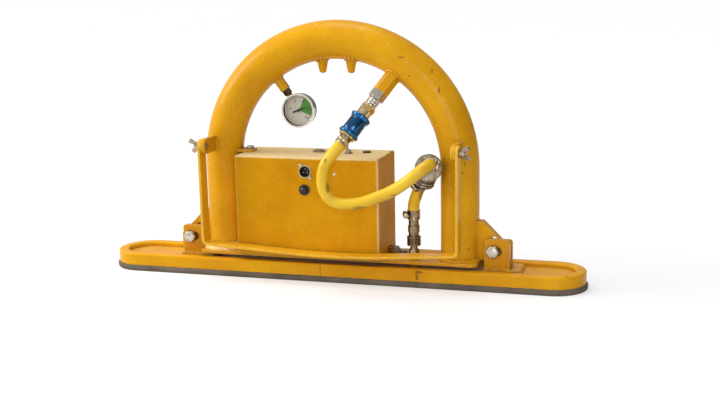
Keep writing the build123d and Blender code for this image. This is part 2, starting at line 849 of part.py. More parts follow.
# Folded sheet case, open at the back inside a flange for the cover
with BuildPart() as box_case:
    with Locations((box_x, box_y, box_z)):
        Box(box_width, box_depth, box_height)
    front_edges = box_case.faces().sort_by(Axis.Y)[0].edges()
    fillet(front_edges + box_case.edges().filter_by(Axis.Y), box_edge_radius)
    with Locations((box_x, box_y, box_z)):
        Box(box_width - 2 * sheet, box_depth - 2 * sheet, box_height - 2 * sheet, mode=Mode.SUBTRACT)
    with BuildSketch(cover_plane):
        with Locations((box_x, box_z)):
            Rectangle(box_width - 2 * back_flange, box_height - 2 * back_flange)
        with Locations(*cover_screw_places):
            Circle((screw_diameter + screw_hole_gap) / 2)
    extrude(amount=sheet, mode=Mode.SUBTRACT)
    with BuildSketch(front_plane):
        with Locations((socket_x, socket_z)):
            Circle(socket_body_diameter / 2)
        with Locations(*socket_screw_places):
            Circle((socket_screw_diameter + screw_hole_gap) / 2)
        with Locations((button_x, button_z)):
            Circle(button_diameter / 2 + button_gap)
        with Locations((lamp_x, lamp_z)):
            Circle(lamp_diameter / 2)
    extrude(amount=-sheet, mode=Mode.SUBTRACT)
    with BuildSketch(top_plane):
        with Locations((toggle_x, toggle_y)):
            Circle(toggle_bush_diameter / 2)
        with Locations((buzzer_x, buzzer_y)):
            Circle(buzzer_stem / 2)
        with Locations((tab_bolt_x, 0)):
            Circle((tab_bolt_diameter + screw_hole_gap) / 2)
    extrude(amount=-sheet, mode=Mode.SUBTRACT)
    side_plane = Plane(origin=(box_left, 0, tube_line_z), z_dir=(1, 0, 0))
    round_bar(side_plane, 0, sheet, reservoir_nipple_diameter, Mode.SUBTRACT)
box_case.part.label = "box_case"
export_step(box_case.part, "parts/box_case.step")

# Flat cover screwed over the back of the case
with BuildPart() as back_cover:
    with BuildSketch(cover_plane):
        with Locations((box_x, box_z)):
            RectangleRounded(box_width, box_height, box_edge_radius)
        with Locations(*cover_screw_places):
            Circle((screw_diameter + screw_hole_gap) / 2, mode=Mode.SUBTRACT)
    extrude(amount=-sheet)
back_cover.part.label = "back_cover"
export_step(back_cover.part, "parts/back_cover.step")

# Pan-head screws of the cover, and two smaller ones beside the socket
with BuildPart() as case_screws:
    with BuildSketch(cover_plane.offset(-sheet)):
        with Locations(*cover_screw_places):
            Circle(screw_head_diameter / 2)
    extrude(amount=-screw_head_height)
    with BuildSketch(cover_plane.offset(-sheet)):
        with Locations(*cover_screw_places):
            Circle(screw_diameter / 2)
    extrude(amount=screw_length)
    with BuildSketch(front_plane):
        with Locations(*socket_screw_places):
            Circle(socket_screw_diameter)
    extrude(amount=screw_head_height / 2)
    with BuildSketch(front_plane):
        with Locations(*socket_screw_places):
            Circle(socket_screw_diameter / 2)
    extrude(amount=-screw_length)
case_screws.part.label = "case_screws"
export_step(case_screws.part, "parts/case_screws.step")

# Tab on the left leg that holds the box down
with BuildPart() as hold_down_tab:
    with BuildSketch(top_plane) as tab_outline:
        with Locations(((tab_end_x - bend_radius) / 2, 0)):
            Rectangle(bend_radius + tab_end_x, tab_width)
        fillet(tab_outline.vertices().group_by(Axis.X)[-1], tab_corner_radius)
        with Locations((tab_bolt_x, 0)):
            Circle((tab_bolt_diameter + screw_hole_gap) / 2, mode=Mode.SUBTRACT)
    extrude(amount=tab_thickness)
    cut_bend()
    split(bisect_by=Plane.YZ.offset(-bend_radius + tube_bore_radius), keep=Keep.TOP)
hold_down_tab.part.label = "hold_down_tab"
export_step(hold_down_tab.part, "parts/hold_down_tab.step")

# Bent clip that ties the box to the base plate at its right end
with BuildPart() as box_clip:
    with BuildSketch(Plane.XZ.offset(-clip_y)):
        with BuildLine():
            Polyline(
                (box_right, clip_top),
                (box_right + clip_top_length, clip_top),
                (clip_slope_end, base_top + clip_thickness),
                (clip_end, base_top + clip_thickness),
                (clip_end, base_top),
                (clip_slope_end - clip_thickness, base_top),
                (box_right + clip_top_length - clip_thickness, clip_top - clip_thickness),
                (box_right, clip_top - clip_thickness),
                close=True,
            )
        make_face()
    extrude(amount=clip_width / 2, both=True)
    clip_bolt_plane = Plane(origin=(clip_bolt_x, clip_y, base_top))
    round_bar(clip_bolt_plane, 0, clip_thickness, clip_bolt_diameter, Mode.SUBTRACT)
box_clip.part.label = "box_clip"
export_step(box_clip.part, "parts/box_clip.step")

# Hex bolts of the tab and of the clip
with BuildPart() as box_bolts:
    tab_bolt_plane = Plane(origin=(tab_bolt_x, 0, box_top + tab_thickness))
    hex_bar(tab_bolt_plane, 0, tab_bolt_head, tab_bolt_flats)
    round_bar(tab_bolt_plane, -tab_thickness - 2 * sheet, 0, tab_bolt_diameter)
    hex_bar(clip_bolt_plane, clip_thickness, clip_thickness + clip_bolt_head, clip_bolt_flats)
    round_bar(clip_bolt_plane, -base_plate_thickness, clip_thickness, clip_bolt_diameter)
box_bolts.part.label = "box_bolts"
export_step(box_bolts.part, "parts/box_bolts.step")

# Three-pin charge socket: ring on the face, deep recess with pins
with BuildPart() as charge_socket:
    socket_plane = Plane(origin=(socket_x, box_front, socket_z), x_dir=(1, 0, 0), z_dir=(0, -1, 0))
    round_bar(socket_plane, 0, socket_ring_height, socket_ring_diameter)
    round_bar(socket_plane, -socket_body_depth, 0, socket_body_diameter)
    recess_floor = socket_ring_height - socket_recess_depth
    round_bar(socket_plane, recess_floor, socket_ring_height, socket_recess_diameter, Mode.SUBTRACT)
    with BuildSketch(socket_plane.offset(recess_floor)):
        with PolarLocations(socket_pin_circle, 3, start_angle=90):
            Circle(socket_pin_diameter / 2)
    extrude(amount=socket_recess_depth - socket_pin_recess)
charge_socket.part.label = "charge_socket"
export_step(charge_socket.part, "parts/charge_socket.step")

# Ring of the push button, screwed to the face
with BuildPart() as button_ring:
    button_plane = Plane(origin=(button_x, box_front, button_z), x_dir=(1, 0, 0), z_dir=(0, -1, 0))
    with BuildSketch(button_plane):
        Circle(button_ring_diameter / 2)
        Circle(button_diameter / 2 + button_gap, mode=Mode.SUBTRACT)
    extrude(amount=button_ring_height)
button_ring.part.label = "button_ring"
export_step(button_ring.part, "parts/button_ring.step")

# Domed rubber-capped plunger of the push button
with BuildPart() as push_button:
    round_bar(button_plane, -button_depth, button_height, button_diameter)
    fillet(push_button.faces().sort_by(Axis.Y)[0].edges(), button_edge_radius)
push_button.part.label = "push_button"
export_step(push_button.part, "parts/push_button.step")

# Small round lamp on the face
with BuildPart() as indicator_lamp:
    lamp_plane = Plane(origin=(lamp_x, box_front, lamp_z), x_dir=(1, 0, 0), z_dir=(0, -1, 0))
    round_bar(lamp_plane, -lamp_depth, lamp_rise, lamp_diameter)
    fillet(indicator_lamp.faces().sort_by(Axis.Y)[0].edges(), lamp_rise)
indicator_lamp.part.label = "indicator_lamp"
export_step(indicator_lamp.part, "parts/indicator_lamp.step")

# Toggle switch: threaded bush and nut above the lid, body below it
with BuildPart() as toggle_switch:
    toggle_plane = Plane(origin=(toggle_x, toggle_y, box_top))
    round_bar(toggle_plane, -sheet, toggle_bush_height, toggle_bush_diameter)
    hex_bar(toggle_plane, 0, toggle_nut_height, toggle_nut_flats)
    with BuildSketch(toggle_plane.offset(-sheet)):
        Rectangle(toggle_body_length, toggle_body_width)
    extrude(amount=-toggle_body_depth)
    round_bar(toggle_plane, -toggle_ball_diameter, toggle_bush_height, toggle_bore, Mode.SUBTRACT)
toggle_switch.part.label = "toggle_switch"
export_step(toggle_switch.part, "parts/toggle_switch.step")

# Toggle lever: ball in the bush and a tapered bat handle, leaned to one side
with BuildPart() as toggle_lever:
    ball_z = box_top + toggle_bush_height - toggle_ball_diameter / 2 - toggle_ball_cover
    lean = radians(toggle_lean)
    ball_place = (toggle_x, toggle_y, ball_z)
    lever_plane = Plane(origin=ball_place, x_dir=(0, 1, 0), z_dir=(-sin(lean), 0, cos(lean)))
    with Locations(ball_place):
        Sphere(toggle_ball_diameter / 2)
    with BuildSketch(lever_plane):
        Circle(toggle_lever_root / 2)
    with BuildSketch(lever_plane.offset(toggle_lever_length)):
        Circle(toggle_lever_tip / 2)
    loft()
    fillet(toggle_lever.edges().sort_by(Axis.Z)[-1], toggle_tip_radius)
toggle_lever.part.label = "toggle_lever"
export_step(toggle_lever.part, "parts/toggle_lever.step")

# Alarm buzzer let into the lid
with BuildPart() as alarm_buzzer:
    buzzer_plane = Plane(origin=(buzzer_x, buzzer_y, box_top))
    round_bar(buzzer_plane, 0, buzzer_rise, buzzer_diameter)
    round_bar(buzzer_plane, -buzzer_depth, 0, buzzer_stem)
    fillet(alarm_buzzer.edges().sort_by(Axis.Z)[-1], buzzer_edge_radius)
alarm_buzzer.part.label = "alarm_buzzer"
export_step(alarm_buzzer.part, "parts/alarm_buzzer.step")

# Wire pull ring lying on the lid, hinged on its straight side
ring_z = box_top + ring_wire / 2 + ring_lift
with BuildPart() as lid_ring:
    hinge_bar_plane = Plane(origin=(ring_x, ring_y, ring_z), z_dir=(1, 0, 0))
    round_bar(hinge_bar_plane, -ring_radius, ring_radius, ring_wire)
    with BuildSketch(Plane(origin=(ring_x, ring_y, ring_z), x_dir=(1, 0, 0), z_dir=(0, 1, 0))):
        with Locations((ring_radius, 0)):
            Circle(ring_wire / 2)
    revolve(axis=Axis((ring_x, ring_y, ring_z), (0, 0, -1)), revolution_arc=180)
    with Locations((ring_x - ring_radius, ring_y, ring_z), (ring_x + ring_radius, ring_y, ring_z)):
        Sphere(ring_wire / 2)
lid_ring.part.label = "lid_ring"
export_step(lid_ring.part, "parts/lid_ring.step")

# Staple that holds the ring's straight side to the lid
with BuildPart() as ring_staple:
    staple_radius = ring_wire / 2 + staple_wall
    with BuildSketch(hinge_bar_plane.offset(-staple_length / 2)):
        Circle(staple_radius)
    extrude(amount=staple_length)
    with Locations((ring_x, ring_y + staple_foot / 4, (box_top + ring_z) / 2)):
        Box(staple_length, staple_foot / 2, ring_z - box_top)
    round_bar(hinge_bar_plane, -ring_radius, ring_radius, ring_wire + arbor_fit, Mode.SUBTRACT)
    split(bisect_by=top_plane, keep=Keep.TOP)
ring_staple.part.label = "ring_staple"
export_step(ring_staple.part, "parts/ring_staple.step")

# Sealed battery on the floor of the case
with BuildPart() as battery:
    battery_middle = floor_z + battery_height / 2
    with Locations((battery_x, battery_y, battery_middle)):
        Box(battery_length, battery_depth, battery_height)
    fillet(battery.edges().filter_by(Axis.Z), battery_edge_radius)
    battery_top = floor_z + battery_height
    for side in (-1, 1):
        terminal_x = battery_x + side * terminal_spacing / 2
        with Locations((terminal_x, battery_y, battery_top + terminal_height / 2)):
            Box(terminal_thickness, terminal_width, terminal_height)
battery.part.label = "battery"
export_step(battery.part, "parts/battery.step")

# Pump motor on its foot, hollow, with a bearing bore at each end
with BuildPart() as pump_motor:
    round_bar(motor_plane, 0, motor_length, motor_diameter)
    foot_top = shaft_z - motor_diameter / 2 + motor_wall
    with Locations(((motor_start + motor_end) / 2, 0, (floor_z + foot_top) / 2)):
        Box(motor_foot_length, motor_foot_depth, foot_top - floor_z)
    motor_cavity = motor_diameter - 2 * motor_wall
    round_bar(motor_plane, motor_end_wall, motor_length - motor_end_wall, motor_cavity, Mode.SUBTRACT)
    round_bar(motor_plane, 0, motor_length, shaft_diameter + shaft_fit, Mode.SUBTRACT)
pump_motor.part.label = "pump_motor"
export_step(pump_motor.part, "parts/pump_motor.step")

# Shaft with the rotor and the eccentric that works the diaphragm
with BuildPart() as pump_shaft:
    round_bar(motor_plane, 0, motor_length + shaft_overhang, shaft_diameter)
    rotor_start = (motor_length - rotor_length) / 2
    round_bar(motor_plane, rotor_start, rotor_start + rotor_length, rotor_diameter)
    with BuildSketch(head_plane.offset(eccentric_length)):
        with Locations((eccentric_throw, 0)):
            Circle(eccentric_diameter / 2)
    extrude(amount=eccentric_length)
pump_shaft.part.label = "pump_shaft"
export_step(pump_shaft.part, "parts/pump_shaft.step")

# Pump head: crank chamber, diaphragm cap and suction nipple
with BuildPart() as pump_head:
    with Locations((head_x, 0, (floor_z + head_top) / 2)):
        Box(head_length, head_depth, head_top - floor_z)
    cap_plane = Plane(origin=(head_x, 0, head_top))
    round_bar(cap_plane, 0, cap_height, min(cap_diameter, head_length))
    round_bar(cap_plane, cap_height, cap_height + nipple_rise, nipple_diameter)
    round_bar(head_plane, 0, crank_depth, crank_bore, Mode.SUBTRACT)
pump_head.part.label = "pump_head"
export_step(pump_head.part, "parts/pump_head.step")

# Vacuum switch hung under the lid
with BuildPart() as vacuum_switch:
    with Locations((switch_x, 0, ceiling_z - switch_height / 2)):
        Box(switch_length, switch_depth, switch_height)
    fillet(vacuum_switch.edges().filter_by(Axis.Z), switch_edge_radius)
vacuum_switch.part.label = "vacuum_switch"
export_step(vacuum_switch.part, "parts/vacuum_switch.step")

# Nipple from the case into the left leg
with BuildPart() as reservoir_nipple:
    leg_face_plane = Plane(origin=(-leg_inner_face, 0, tube_line_z), z_dir=(1, 0, 0))
    round_bar(leg_face_plane, 0, nipple_end + leg_inner_face, reservoir_nipple_diameter)
    round_bar(leg_face_plane, 0, nipple_end + leg_inner_face, tube_line_bore, Mode.SUBTRACT)
reservoir_nipple.part.label = "reservoir_nipple"
export_step(reservoir_nipple.part, "parts/reservoir_nipple.step")

# Suction tubes: nipple to switch, and switch to pump head
with BuildPart() as suction_tubes:
    nipple_face = Plane(origin=(nipple_end, 0, tube_line_z), z_dir=(1, 0, 0))
    with BuildSketch(nipple_face):
        Circle(tube_line_diameter / 2)
        Circle(tube_line_bore / 2, mode=Mode.SUBTRACT)
    extrude(amount=switch_left - nipple_end)
    with BuildLine() as pump_line:
        FilletPolyline(
            (switch_right, 0, tube_line_z),
            (head_x, 0, tube_line_z),
            (head_x, 0, cap_top + nipple_rise),
            radius=tube_line_bend,
        )
    with BuildSketch(Plane(origin=(switch_right, 0, tube_line_z), z_dir=(1, 0, 0))):
        Circle(tube_line_diameter / 2)
        Circle(tube_line_bore / 2, mode=Mode.SUBTRACT)
    sweep(path=pump_line.line)
suction_tubes.part.label = "suction_tubes"
export_step(suction_tubes.part, "parts/suction_tubes.step")

# Gauge stem screwed into its boss
with BuildPart() as gauge_stem:
    stem_end = gauge_reach - gauge_radius + gauge_wall
    hex_bar(gauge_plane, gauge_boss_end, gauge_boss_end + gauge_stem_hex, gauge_stem_flats)
    round_bar(gauge_plane, gauge_boss_end, stem_end, gauge_stem_diameter)
gauge_stem.part.label = "gauge_stem"
export_step(gauge_stem.part, "parts/gauge_stem.step")

# Gauge case: round cup, open at the front
with BuildPart() as gauge_case:
    round_bar(dial_plane, -gauge_back, gauge_front, 2 * gauge_radius)
    case_bore = 2 * (gauge_radius - gauge_wall)
    round_bar(dial_plane, gauge_wall - gauge_back, gauge_front, case_bore, Mode.SUBTRACT)
    round_bar(gauge_plane, gauge_boss_end, gauge_reach, gauge_stem_diameter, Mode.SUBTRACT)
gauge_case.part.label = "gauge_case"
export_step(gauge_case.part, "parts/gauge_case.step")

# Bezel pressed over the front of the case
with BuildPart() as gauge_bezel:
    bezel_radius = gauge_radius + bezel_wall
    bezel_front = gauge_front + lens_thickness + bezel_wall
    round_bar(dial_plane, gauge_front - bezel_skirt, bezel_front, 2 * bezel_radius)
    lip_start = bezel_front - bezel_wall
    round_bar(dial_plane, gauge_front - bezel_skirt, lip_start, 2 * gauge_radius, Mode.SUBTRACT)
    round_bar(dial_plane, gauge_front, bezel_front, 2 * (gauge_radius - bezel_lip), Mode.SUBTRACT)
gauge_bezel.part.label = "gauge_bezel"
export_step(gauge_bezel.part, "parts/gauge_bezel.step")

# Clear lens between the bezel and the case
with BuildPart() as gauge_lens:
    round_bar(dial_plane, gauge_front, gauge_front + lens_thickness, 2 * gauge_radius)
gauge_lens.part.label = "gauge_lens"
export_step(gauge_lens.part, "parts/gauge_lens.step")

# Printed dial
with BuildPart() as gauge_dial:
    with BuildSketch(dial_plane.offset(dial_front - dial_thickness)):
        Circle(gauge_radius - gauge_wall)
        Circle((arbor_diameter + arbor_fit) / 2, mode=Mode.SUBTRACT)
    extrude(amount=dial_thickness)
gauge_dial.part.label = "gauge_dial"
export_step(gauge_dial.part, "parts/gauge_dial.step")

# Pointer with its hub and arbor
with BuildPart() as gauge_pointer:
    round_bar(dial_plane, dial_front - arbor_depth, pointer_plane, arbor_diameter)
    round_bar(dial_plane, dial_front + pointer_gap, pointer_plane + pointer_thickness, 2 * hub_radius)
    with BuildSketch(blade_plane.offset(pointer_plane)):
        with BuildLine():
            Polyline(
                (-pointer_tail, -hub_radius / 2),
                (0, -hub_radius / 2),
                (pointer_length, 0),
                (0, hub_radius / 2),
                (-pointer_tail, hub_radius / 2),
                close=True,
            )
        make_face()
    extrude(amount=pointer_thickness)
gauge_pointer.part.label = "gauge_pointer"
export_step(gauge_pointer.part, "parts/gauge_pointer.step")

# Steel fitting, brass fitting and slide valve below the valve boss
with BuildPart() as steel_fitting:
    hex_bar(valve_plane, valve_boss_end, valve_boss_end + steel_hex_length, steel_hex_flats)
    round_bar(valve_plane, valve_boss_end, steel_end, steel_neck_diameter)
    round_bar(valve_plane, valve_boss_end, steel_end, valve_bore, Mode.SUBTRACT)
steel_fitting.part.label = "steel_fitting"
export_step(steel_fitting.part, "parts/steel_fitting.step")

with BuildPart() as brass_fitting:
    hex_bar(valve_plane, steel_end, brass_end, brass_flats)
    round_bar(valve_plane, steel_end, steel_end + brass_ring_length, brass_ring_diameter)
    round_bar(valve_plane, steel_end, brass_end, valve_bore, Mode.SUBTRACT)
brass_fitting.part.label = "brass_fitting"
export_step(brass_fitting.part, "parts/brass_fitting.step")

with BuildPart() as valve_body:
    round_bar(valve_plane, brass_end, core_end, valve_core_diameter)
    round_bar(valve_plane, core_end, flange_end, valve_flange_diameter)
    hex_bar(valve_plane, flange_end, valve_end, valve_nut_flats)
    round_bar(valve_plane, valve_end, barb_end, barb_diameter)
    round_bar(valve_plane, brass_end, barb_end, valve_bore, Mode.SUBTRACT)
valve_body.part.label = "valve_body"
export_step(valve_body.part, "parts/valve_body.step")

# Sleeve that slides along the valve body to vent or hold the pad
with BuildPart() as valve_sleeve:
    round_bar(valve_plane, sleeve_start, sleeve_end, sleeve_diameter)
    round_bar(valve_plane, sleeve_start, sleeve_start + sleeve_collar_length, sleeve_collar_diameter)
    round_bar(valve_plane, sleeve_end - sleeve_collar_length, sleeve_end, sleeve_collar_diameter)
    round_bar(valve_plane, sleeve_start, sleeve_end, valve_core_diameter + sleeve_fit, Mode.SUBTRACT)
valve_sleeve.part.label = "valve_sleeve"
export_step(valve_sleeve.part, "parts/valve_sleeve.step")

# Long hose from the valve, in a loop in front of the box, to the filter
hose_start = valve_plane.origin + valve_plane.z_dir * valve_end
hose_lead = hose_start + valve_plane.z_dir * hose_lead_length
hose_end = inlet_centre + inlet_plane.z_dir * hose_end_reach
hose_entry = hose_end + inlet_plane.z_dir * hose_entry_length
hose_points = [hose_start, hose_lead]
hose_points += [hose_start + Vector(*step) for step in loop_from_valve]
hose_points += [hose_end + Vector(*step) for step in loop_to_filter]
hose_points += [hose_entry, hose_end]
hose_route = [(point.X, point.Y, point.Z) for point in hose_points]


def bend_radii(route):
    """Largest arc that each corner of a route has room for."""
    radii = []
    points = [Vector(*point) for point in route]
    for before, corner, after in zip(points, points[1:], points[2:]):
        turn = radians((corner - before).get_angle(after - corner))
        shorter = min((corner - before).length, (after - corner).length)
        radii.append(arc_share * shorter / tan(turn / 2))
    return radii


def sweep_hose(route, path):
    """Hose of one ring section along a path that starts at the route's first point."""
    start_direction = Vector(*route[1]) - Vector(*route[0])
    with BuildSketch(Plane(origin=route[0], z_dir=start_direction)) as ring:
        Circle(hose_diameter / 2)
        Circle(hose_bore / 2, mode=Mode.SUBTRACT)
    sweep(ring.sketch, path=path)


hose_area = pi * (hose_diameter**2 - hose_bore**2) / 4
with BuildPart() as long_hose:
    hose_radii = bend_radii(hose_route)
    with BuildLine() as hose_line:
        FilletPolyline(*hose_route, radius=hose_radii)
    sweep_hose(hose_route, hose_line.line)
long_hose.part.label = "long_hose"
export_step(long_hose.part, "parts/long_hose.step")
hose_length = sum(edge.length for edge in hose_line.edges())
print("long hose radii", [round(radius, 1) for radius in hose_radii])
print("long hose route", [(round(x, 2), round(y, 2), round(z, 2)) for x, y, z in hose_route])
print("long hose length", round(hose_length, 1))
print("long hose volume against section times length", long_hose.part.volume / hose_length / hose_area)

# Inline filter hung between the two hoses: foot, cone, head and a round drum facing the front
with BuildPart() as inline_filter:
    round_bar(filter_plane, filter_foot, filter_cone_start, filter_foot_diameter)
    with BuildSketch(filter_plane.offset(filter_cone_start)):
        Circle(filter_foot_diameter / 2)
    with BuildSketch(filter_plane.offset(filter_cone_end)):
        Circle(filter_head_diameter / 2)
    loft()
    round_bar(filter_plane, filter_cone_end, filter_end, filter_head_diameter)
    rims = inline_filter.edges().filter_by(GeomType.CIRCLE).sort_by(Axis(filter_outlet, filter_axis))
    fillet([rims[0], rims[-1]], filter_edge)
    round_bar(drum_plane, -filter_drum_back, filter_drum_front, filter_drum_diameter)
    drum_rims = inline_filter.edges().filter_by(GeomType.CIRCLE).sort_by(Axis(drum_centre, inlet_axis))
    fillet(drum_rims[-1], filter_drum_edge)
    round_bar(outlet_plane, filter_foot - filter_nipple_length, filter_foot, barb_diameter)
    round_bar(inlet_plane, 0, inlet_reach, barb_diameter)
inline_filter.part.label = "inline_filter"
export_step(inline_filter.part, "parts/inline_filter.step")

# Short hose from the filter down to the coupler
filter_lead = outlet_plane.origin + outlet_plane.z_dir * (filter_foot - filter_lead_length)
filter_seat = outlet_plane.origin + outlet_plane.z_dir * filter_foot
short_route = [
    (coupler_x, coupler_y, coupler_neck_end),
    (coupler_x, coupler_y, coupler_neck_end + short_hose_rise),
    (filter_lead.X, filter_lead.Y, filter_lead.Z),
    (filter_seat.X, filter_seat.Y, filter_seat.Z),
]
with BuildPart() as short_hose:
    short_radii = bend_radii(short_route)
    with BuildLine() as short_line:
        FilletPolyline(*short_route, radius=short_radii)
    sweep_hose(short_route, short_line.line)
short_hose.part.label = "short_hose"
export_step(short_hose.part, "parts/short_hose.step")
short_length = sum(edge.length for edge in short_line.edges())
print("short hose radii", [round(radius, 1) for radius in short_radii])
print("short hose volume against section times length", short_hose.part.volume / short_length / hose_area)


def worm_clamp(plane, start, width):
    """Worm-drive band round a hose, with its screw housing on the outside."""
    band_bore = hose_diameter + 2 * clamp_gap
    house_start = hose_diameter / 2 + clamp_gap
    round_bar(plane, start, start + width, band_bore + 2 * clamp_band)
    with BuildSketch(plane.offset(start + (width - clamp_house_width) / 2)) as housing:
        with Locations((0, -house_start - clamp_house_height / 2)):
            RectangleRounded(clamp_house_length, clamp_house_height, clamp_house_radius)
    extrude(housing.sketch, amount=clamp_house_width)
    round_bar(plane, start, start + width, band_bore, Mode.SUBTRACT)


# Worm clamps at the valve, and at the coupler
with BuildPart() as hose_clamps:
    worm_clamp(valve_plane, valve_end + clamp_lead, valve_clamp_width)
    clamp_side = (sin(radians(coupler_clamp_turn)), -cos(radians(coupler_clamp_turn)), 0)
    clamp_plane = Plane(origin=(coupler_x, coupler_y, 0), x_dir=clamp_side, z_dir=(0, 0, 1))
    worm_clamp(clamp_plane, coupler_neck_end + clamp_lead, coupler_clamp_width)
hose_clamps.part.label = "hose_clamps"
export_step(hose_clamps.part, "parts/hose_clamps.step")

# Quick coupler: body, and the sleeve that is pulled back to let go
with BuildPart() as coupler_body:
    round_bar(coupler_plane, coupler_start, coupler_shoulder, coupler_core_diameter)
    round_bar(coupler_plane, coupler_shoulder, coupler_body_end, coupler_body_diameter)
    round_bar(coupler_plane, coupler_body_end, coupler_neck_end, coupler_neck_diameter)
    round_bar(coupler_plane, coupler_neck_end, coupler_barb_end, barb_diameter)
    round_bar(coupler_plane, coupler_start, coupler_barb_end, coupler_bore, Mode.SUBTRACT)
    plug_bore = plug_neck_diameter + plug_fit
    round_bar(coupler_plane, coupler_start, coupler_start + plug_spigot, plug_bore, Mode.SUBTRACT)
coupler_body.part.label = "coupler_body"
export_step(coupler_body.part, "parts/coupler_body.step")

with BuildPart() as coupler_sleeve:
    sleeve_top = coupler_start + coupler_sleeve_height
    round_bar(coupler_plane, coupler_start, sleeve_top, coupler_sleeve_diameter)
    chamfer(coupler_sleeve.edges().filter_by(GeomType.CIRCLE), coupler_sleeve_chamfer)
    sleeve_bore = coupler_core_diameter + coupler_sleeve_fit
    round_bar(coupler_plane, coupler_start, sleeve_top, sleeve_bore, Mode.SUBTRACT)
coupler_sleeve.part.label = "coupler_sleeve"
export_step(coupler_sleeve.part, "parts/coupler_sleeve.step")

# Plug nipple on the pad's port
with BuildPart() as plug_nipple:
    hex_bar(coupler_plane, port_top, plug_cone_start, plug_flats)
    with BuildSketch(coupler_plane.offset(plug_cone_start)):
        Circle(plug_flats / 2)
    with BuildSketch(coupler_plane.offset(plug_neck_start)):
        Circle(plug_neck_diameter / 2)
    loft()
    round_bar(coupler_plane, plug_neck_start, coupler_start + plug_spigot, plug_neck_diameter)
    round_bar(coupler_plane, port_top, coupler_start + plug_spigot, coupler_bore, Mode.SUBTRACT)
plug_nipple.part.label = "plug_nipple"
export_step(plug_nipple.part, "parts/plug_nipple.step")
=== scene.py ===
from math import atan2, cos, hypot, pi, radians, sin, sqrt

import bmesh
import bpy
from mathutils import Matrix, Vector


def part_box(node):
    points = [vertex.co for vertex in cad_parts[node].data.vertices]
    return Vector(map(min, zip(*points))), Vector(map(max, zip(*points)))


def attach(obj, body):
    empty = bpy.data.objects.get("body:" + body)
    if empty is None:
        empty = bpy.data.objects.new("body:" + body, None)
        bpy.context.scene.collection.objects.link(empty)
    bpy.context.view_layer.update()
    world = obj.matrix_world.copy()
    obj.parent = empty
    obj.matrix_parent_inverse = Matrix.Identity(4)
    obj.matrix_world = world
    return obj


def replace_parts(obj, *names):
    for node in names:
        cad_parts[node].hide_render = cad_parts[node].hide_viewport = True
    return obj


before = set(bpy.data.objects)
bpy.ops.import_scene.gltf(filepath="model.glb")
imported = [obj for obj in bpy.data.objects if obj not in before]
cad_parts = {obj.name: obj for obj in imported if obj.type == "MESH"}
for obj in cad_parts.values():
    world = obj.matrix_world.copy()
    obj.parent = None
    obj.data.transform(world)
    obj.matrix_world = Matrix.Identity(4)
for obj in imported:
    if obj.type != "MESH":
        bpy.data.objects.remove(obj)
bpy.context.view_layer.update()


# Foam seal: a soft closed-cell strip glued under the rim, cut from one long
# bar and butted together on the front. Its sides bulge a little under the load.
scene = bpy.context.scene
foam_brown, foam_dusty = (0.10, 0.080, 0.058, 1), (0.19, 0.155, 0.115, 1)
foam_pore, foam_joint = (0.05, 0.042, 0.034, 1), (0.03, 0.025, 0.02, 1)
seal_half, seal_outer, seal_inner, seal_height = 0.414, 0.064, 0.034, 0.011
seal_joint, seal_merge, seal_bend_steps = 0.1665, 0.00002, 40


def feed(tree, node, inputs):
    """Gives a node its inputs: a socket becomes a wire, anything else a value."""
    for key, value in inputs.items():
        if isinstance(value, bpy.types.NodeSocket):
            tree.links.new(value, node.inputs[key])
        else:
            node.inputs[key].default_value = value


def put(tree, kind, inputs=None, **settings):
    """Adds a node with its settings and its inputs."""
    made = tree.nodes.new("ShaderNode" + kind)
    for key, value in settings.items():
        setattr(made, key, value)
    feed(tree, made, inputs or {})
    return made


def new_finish(name):
    """New material: itself, its tree, its shader and the piece's own coordinates."""
    finish = bpy.data.materials.new(name)
    finish.use_nodes = True
    tree = finish.node_tree
    place = put(tree, "TexCoord").outputs["Object"]
    return finish, tree, tree.nodes["Principled BSDF"], place


def cloud(tree, place, scale, detail=3.0, rough=0.55):
    """Soft noise from 0 to 1 over a piece."""
    inputs = {"Vector": place, "Scale": scale, "Detail": detail, "Roughness": rough}
    return put(tree, "TexNoise", inputs).outputs["Fac"]


def between(tree, value, low, high, start=0.0, end=1.0):
    """Value turned from the range low to high into start to end, and held there."""
    inputs = {"Value": value, 1: low, 2: high, 3: start, 4: end}
    return put(tree, "MapRange", inputs, clamp=True).outputs["Result"]


def reckon(tree, operation, *values):
    """Result of one step of arithmetic."""
    return put(tree, "Math", dict(enumerate(values)), operation=operation).outputs[0]


def blend_colour(tree, share, first, second):
    """Two colours mixed by a share."""
    return put(tree, "Mix", {0: share, 6: first, 7: second}, data_type="RGBA").outputs[2]


def rough_skin(tree, height, depth, under=None):
    """Normal with small bumps from a height."""
    inputs = {"Height": height, "Distance": depth, "Strength": 1.0}
    if under is not None:
        inputs["Normal"] = under
    return put(tree, "Bump", inputs).outputs["Normal"]


def close_up(shape, reach):
    """Merges points that meet and turns the faces outwards."""
    bmesh.ops.remove_doubles(shape, verts=shape.verts, dist=reach)
    bmesh.ops.recalc_face_normals(shape, faces=shape.faces)


def add_piece(name, shape, finish, body="lifter", sharp=35.0):
    """Makes a piece from a bmesh, smooth but for edges over the sharp angle."""
    mesh = bpy.data.meshes.new(name)
    shape.to_mesh(mesh)
    shape.free()
    mesh.materials.append(finish)
    mesh.shade_smooth()
    mesh.set_sharp_from_angle(angle=radians(sharp))
    piece = bpy.data.objects.new(name, mesh)
    scene.collection.objects.link(piece)
    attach(piece, body)
    return piece


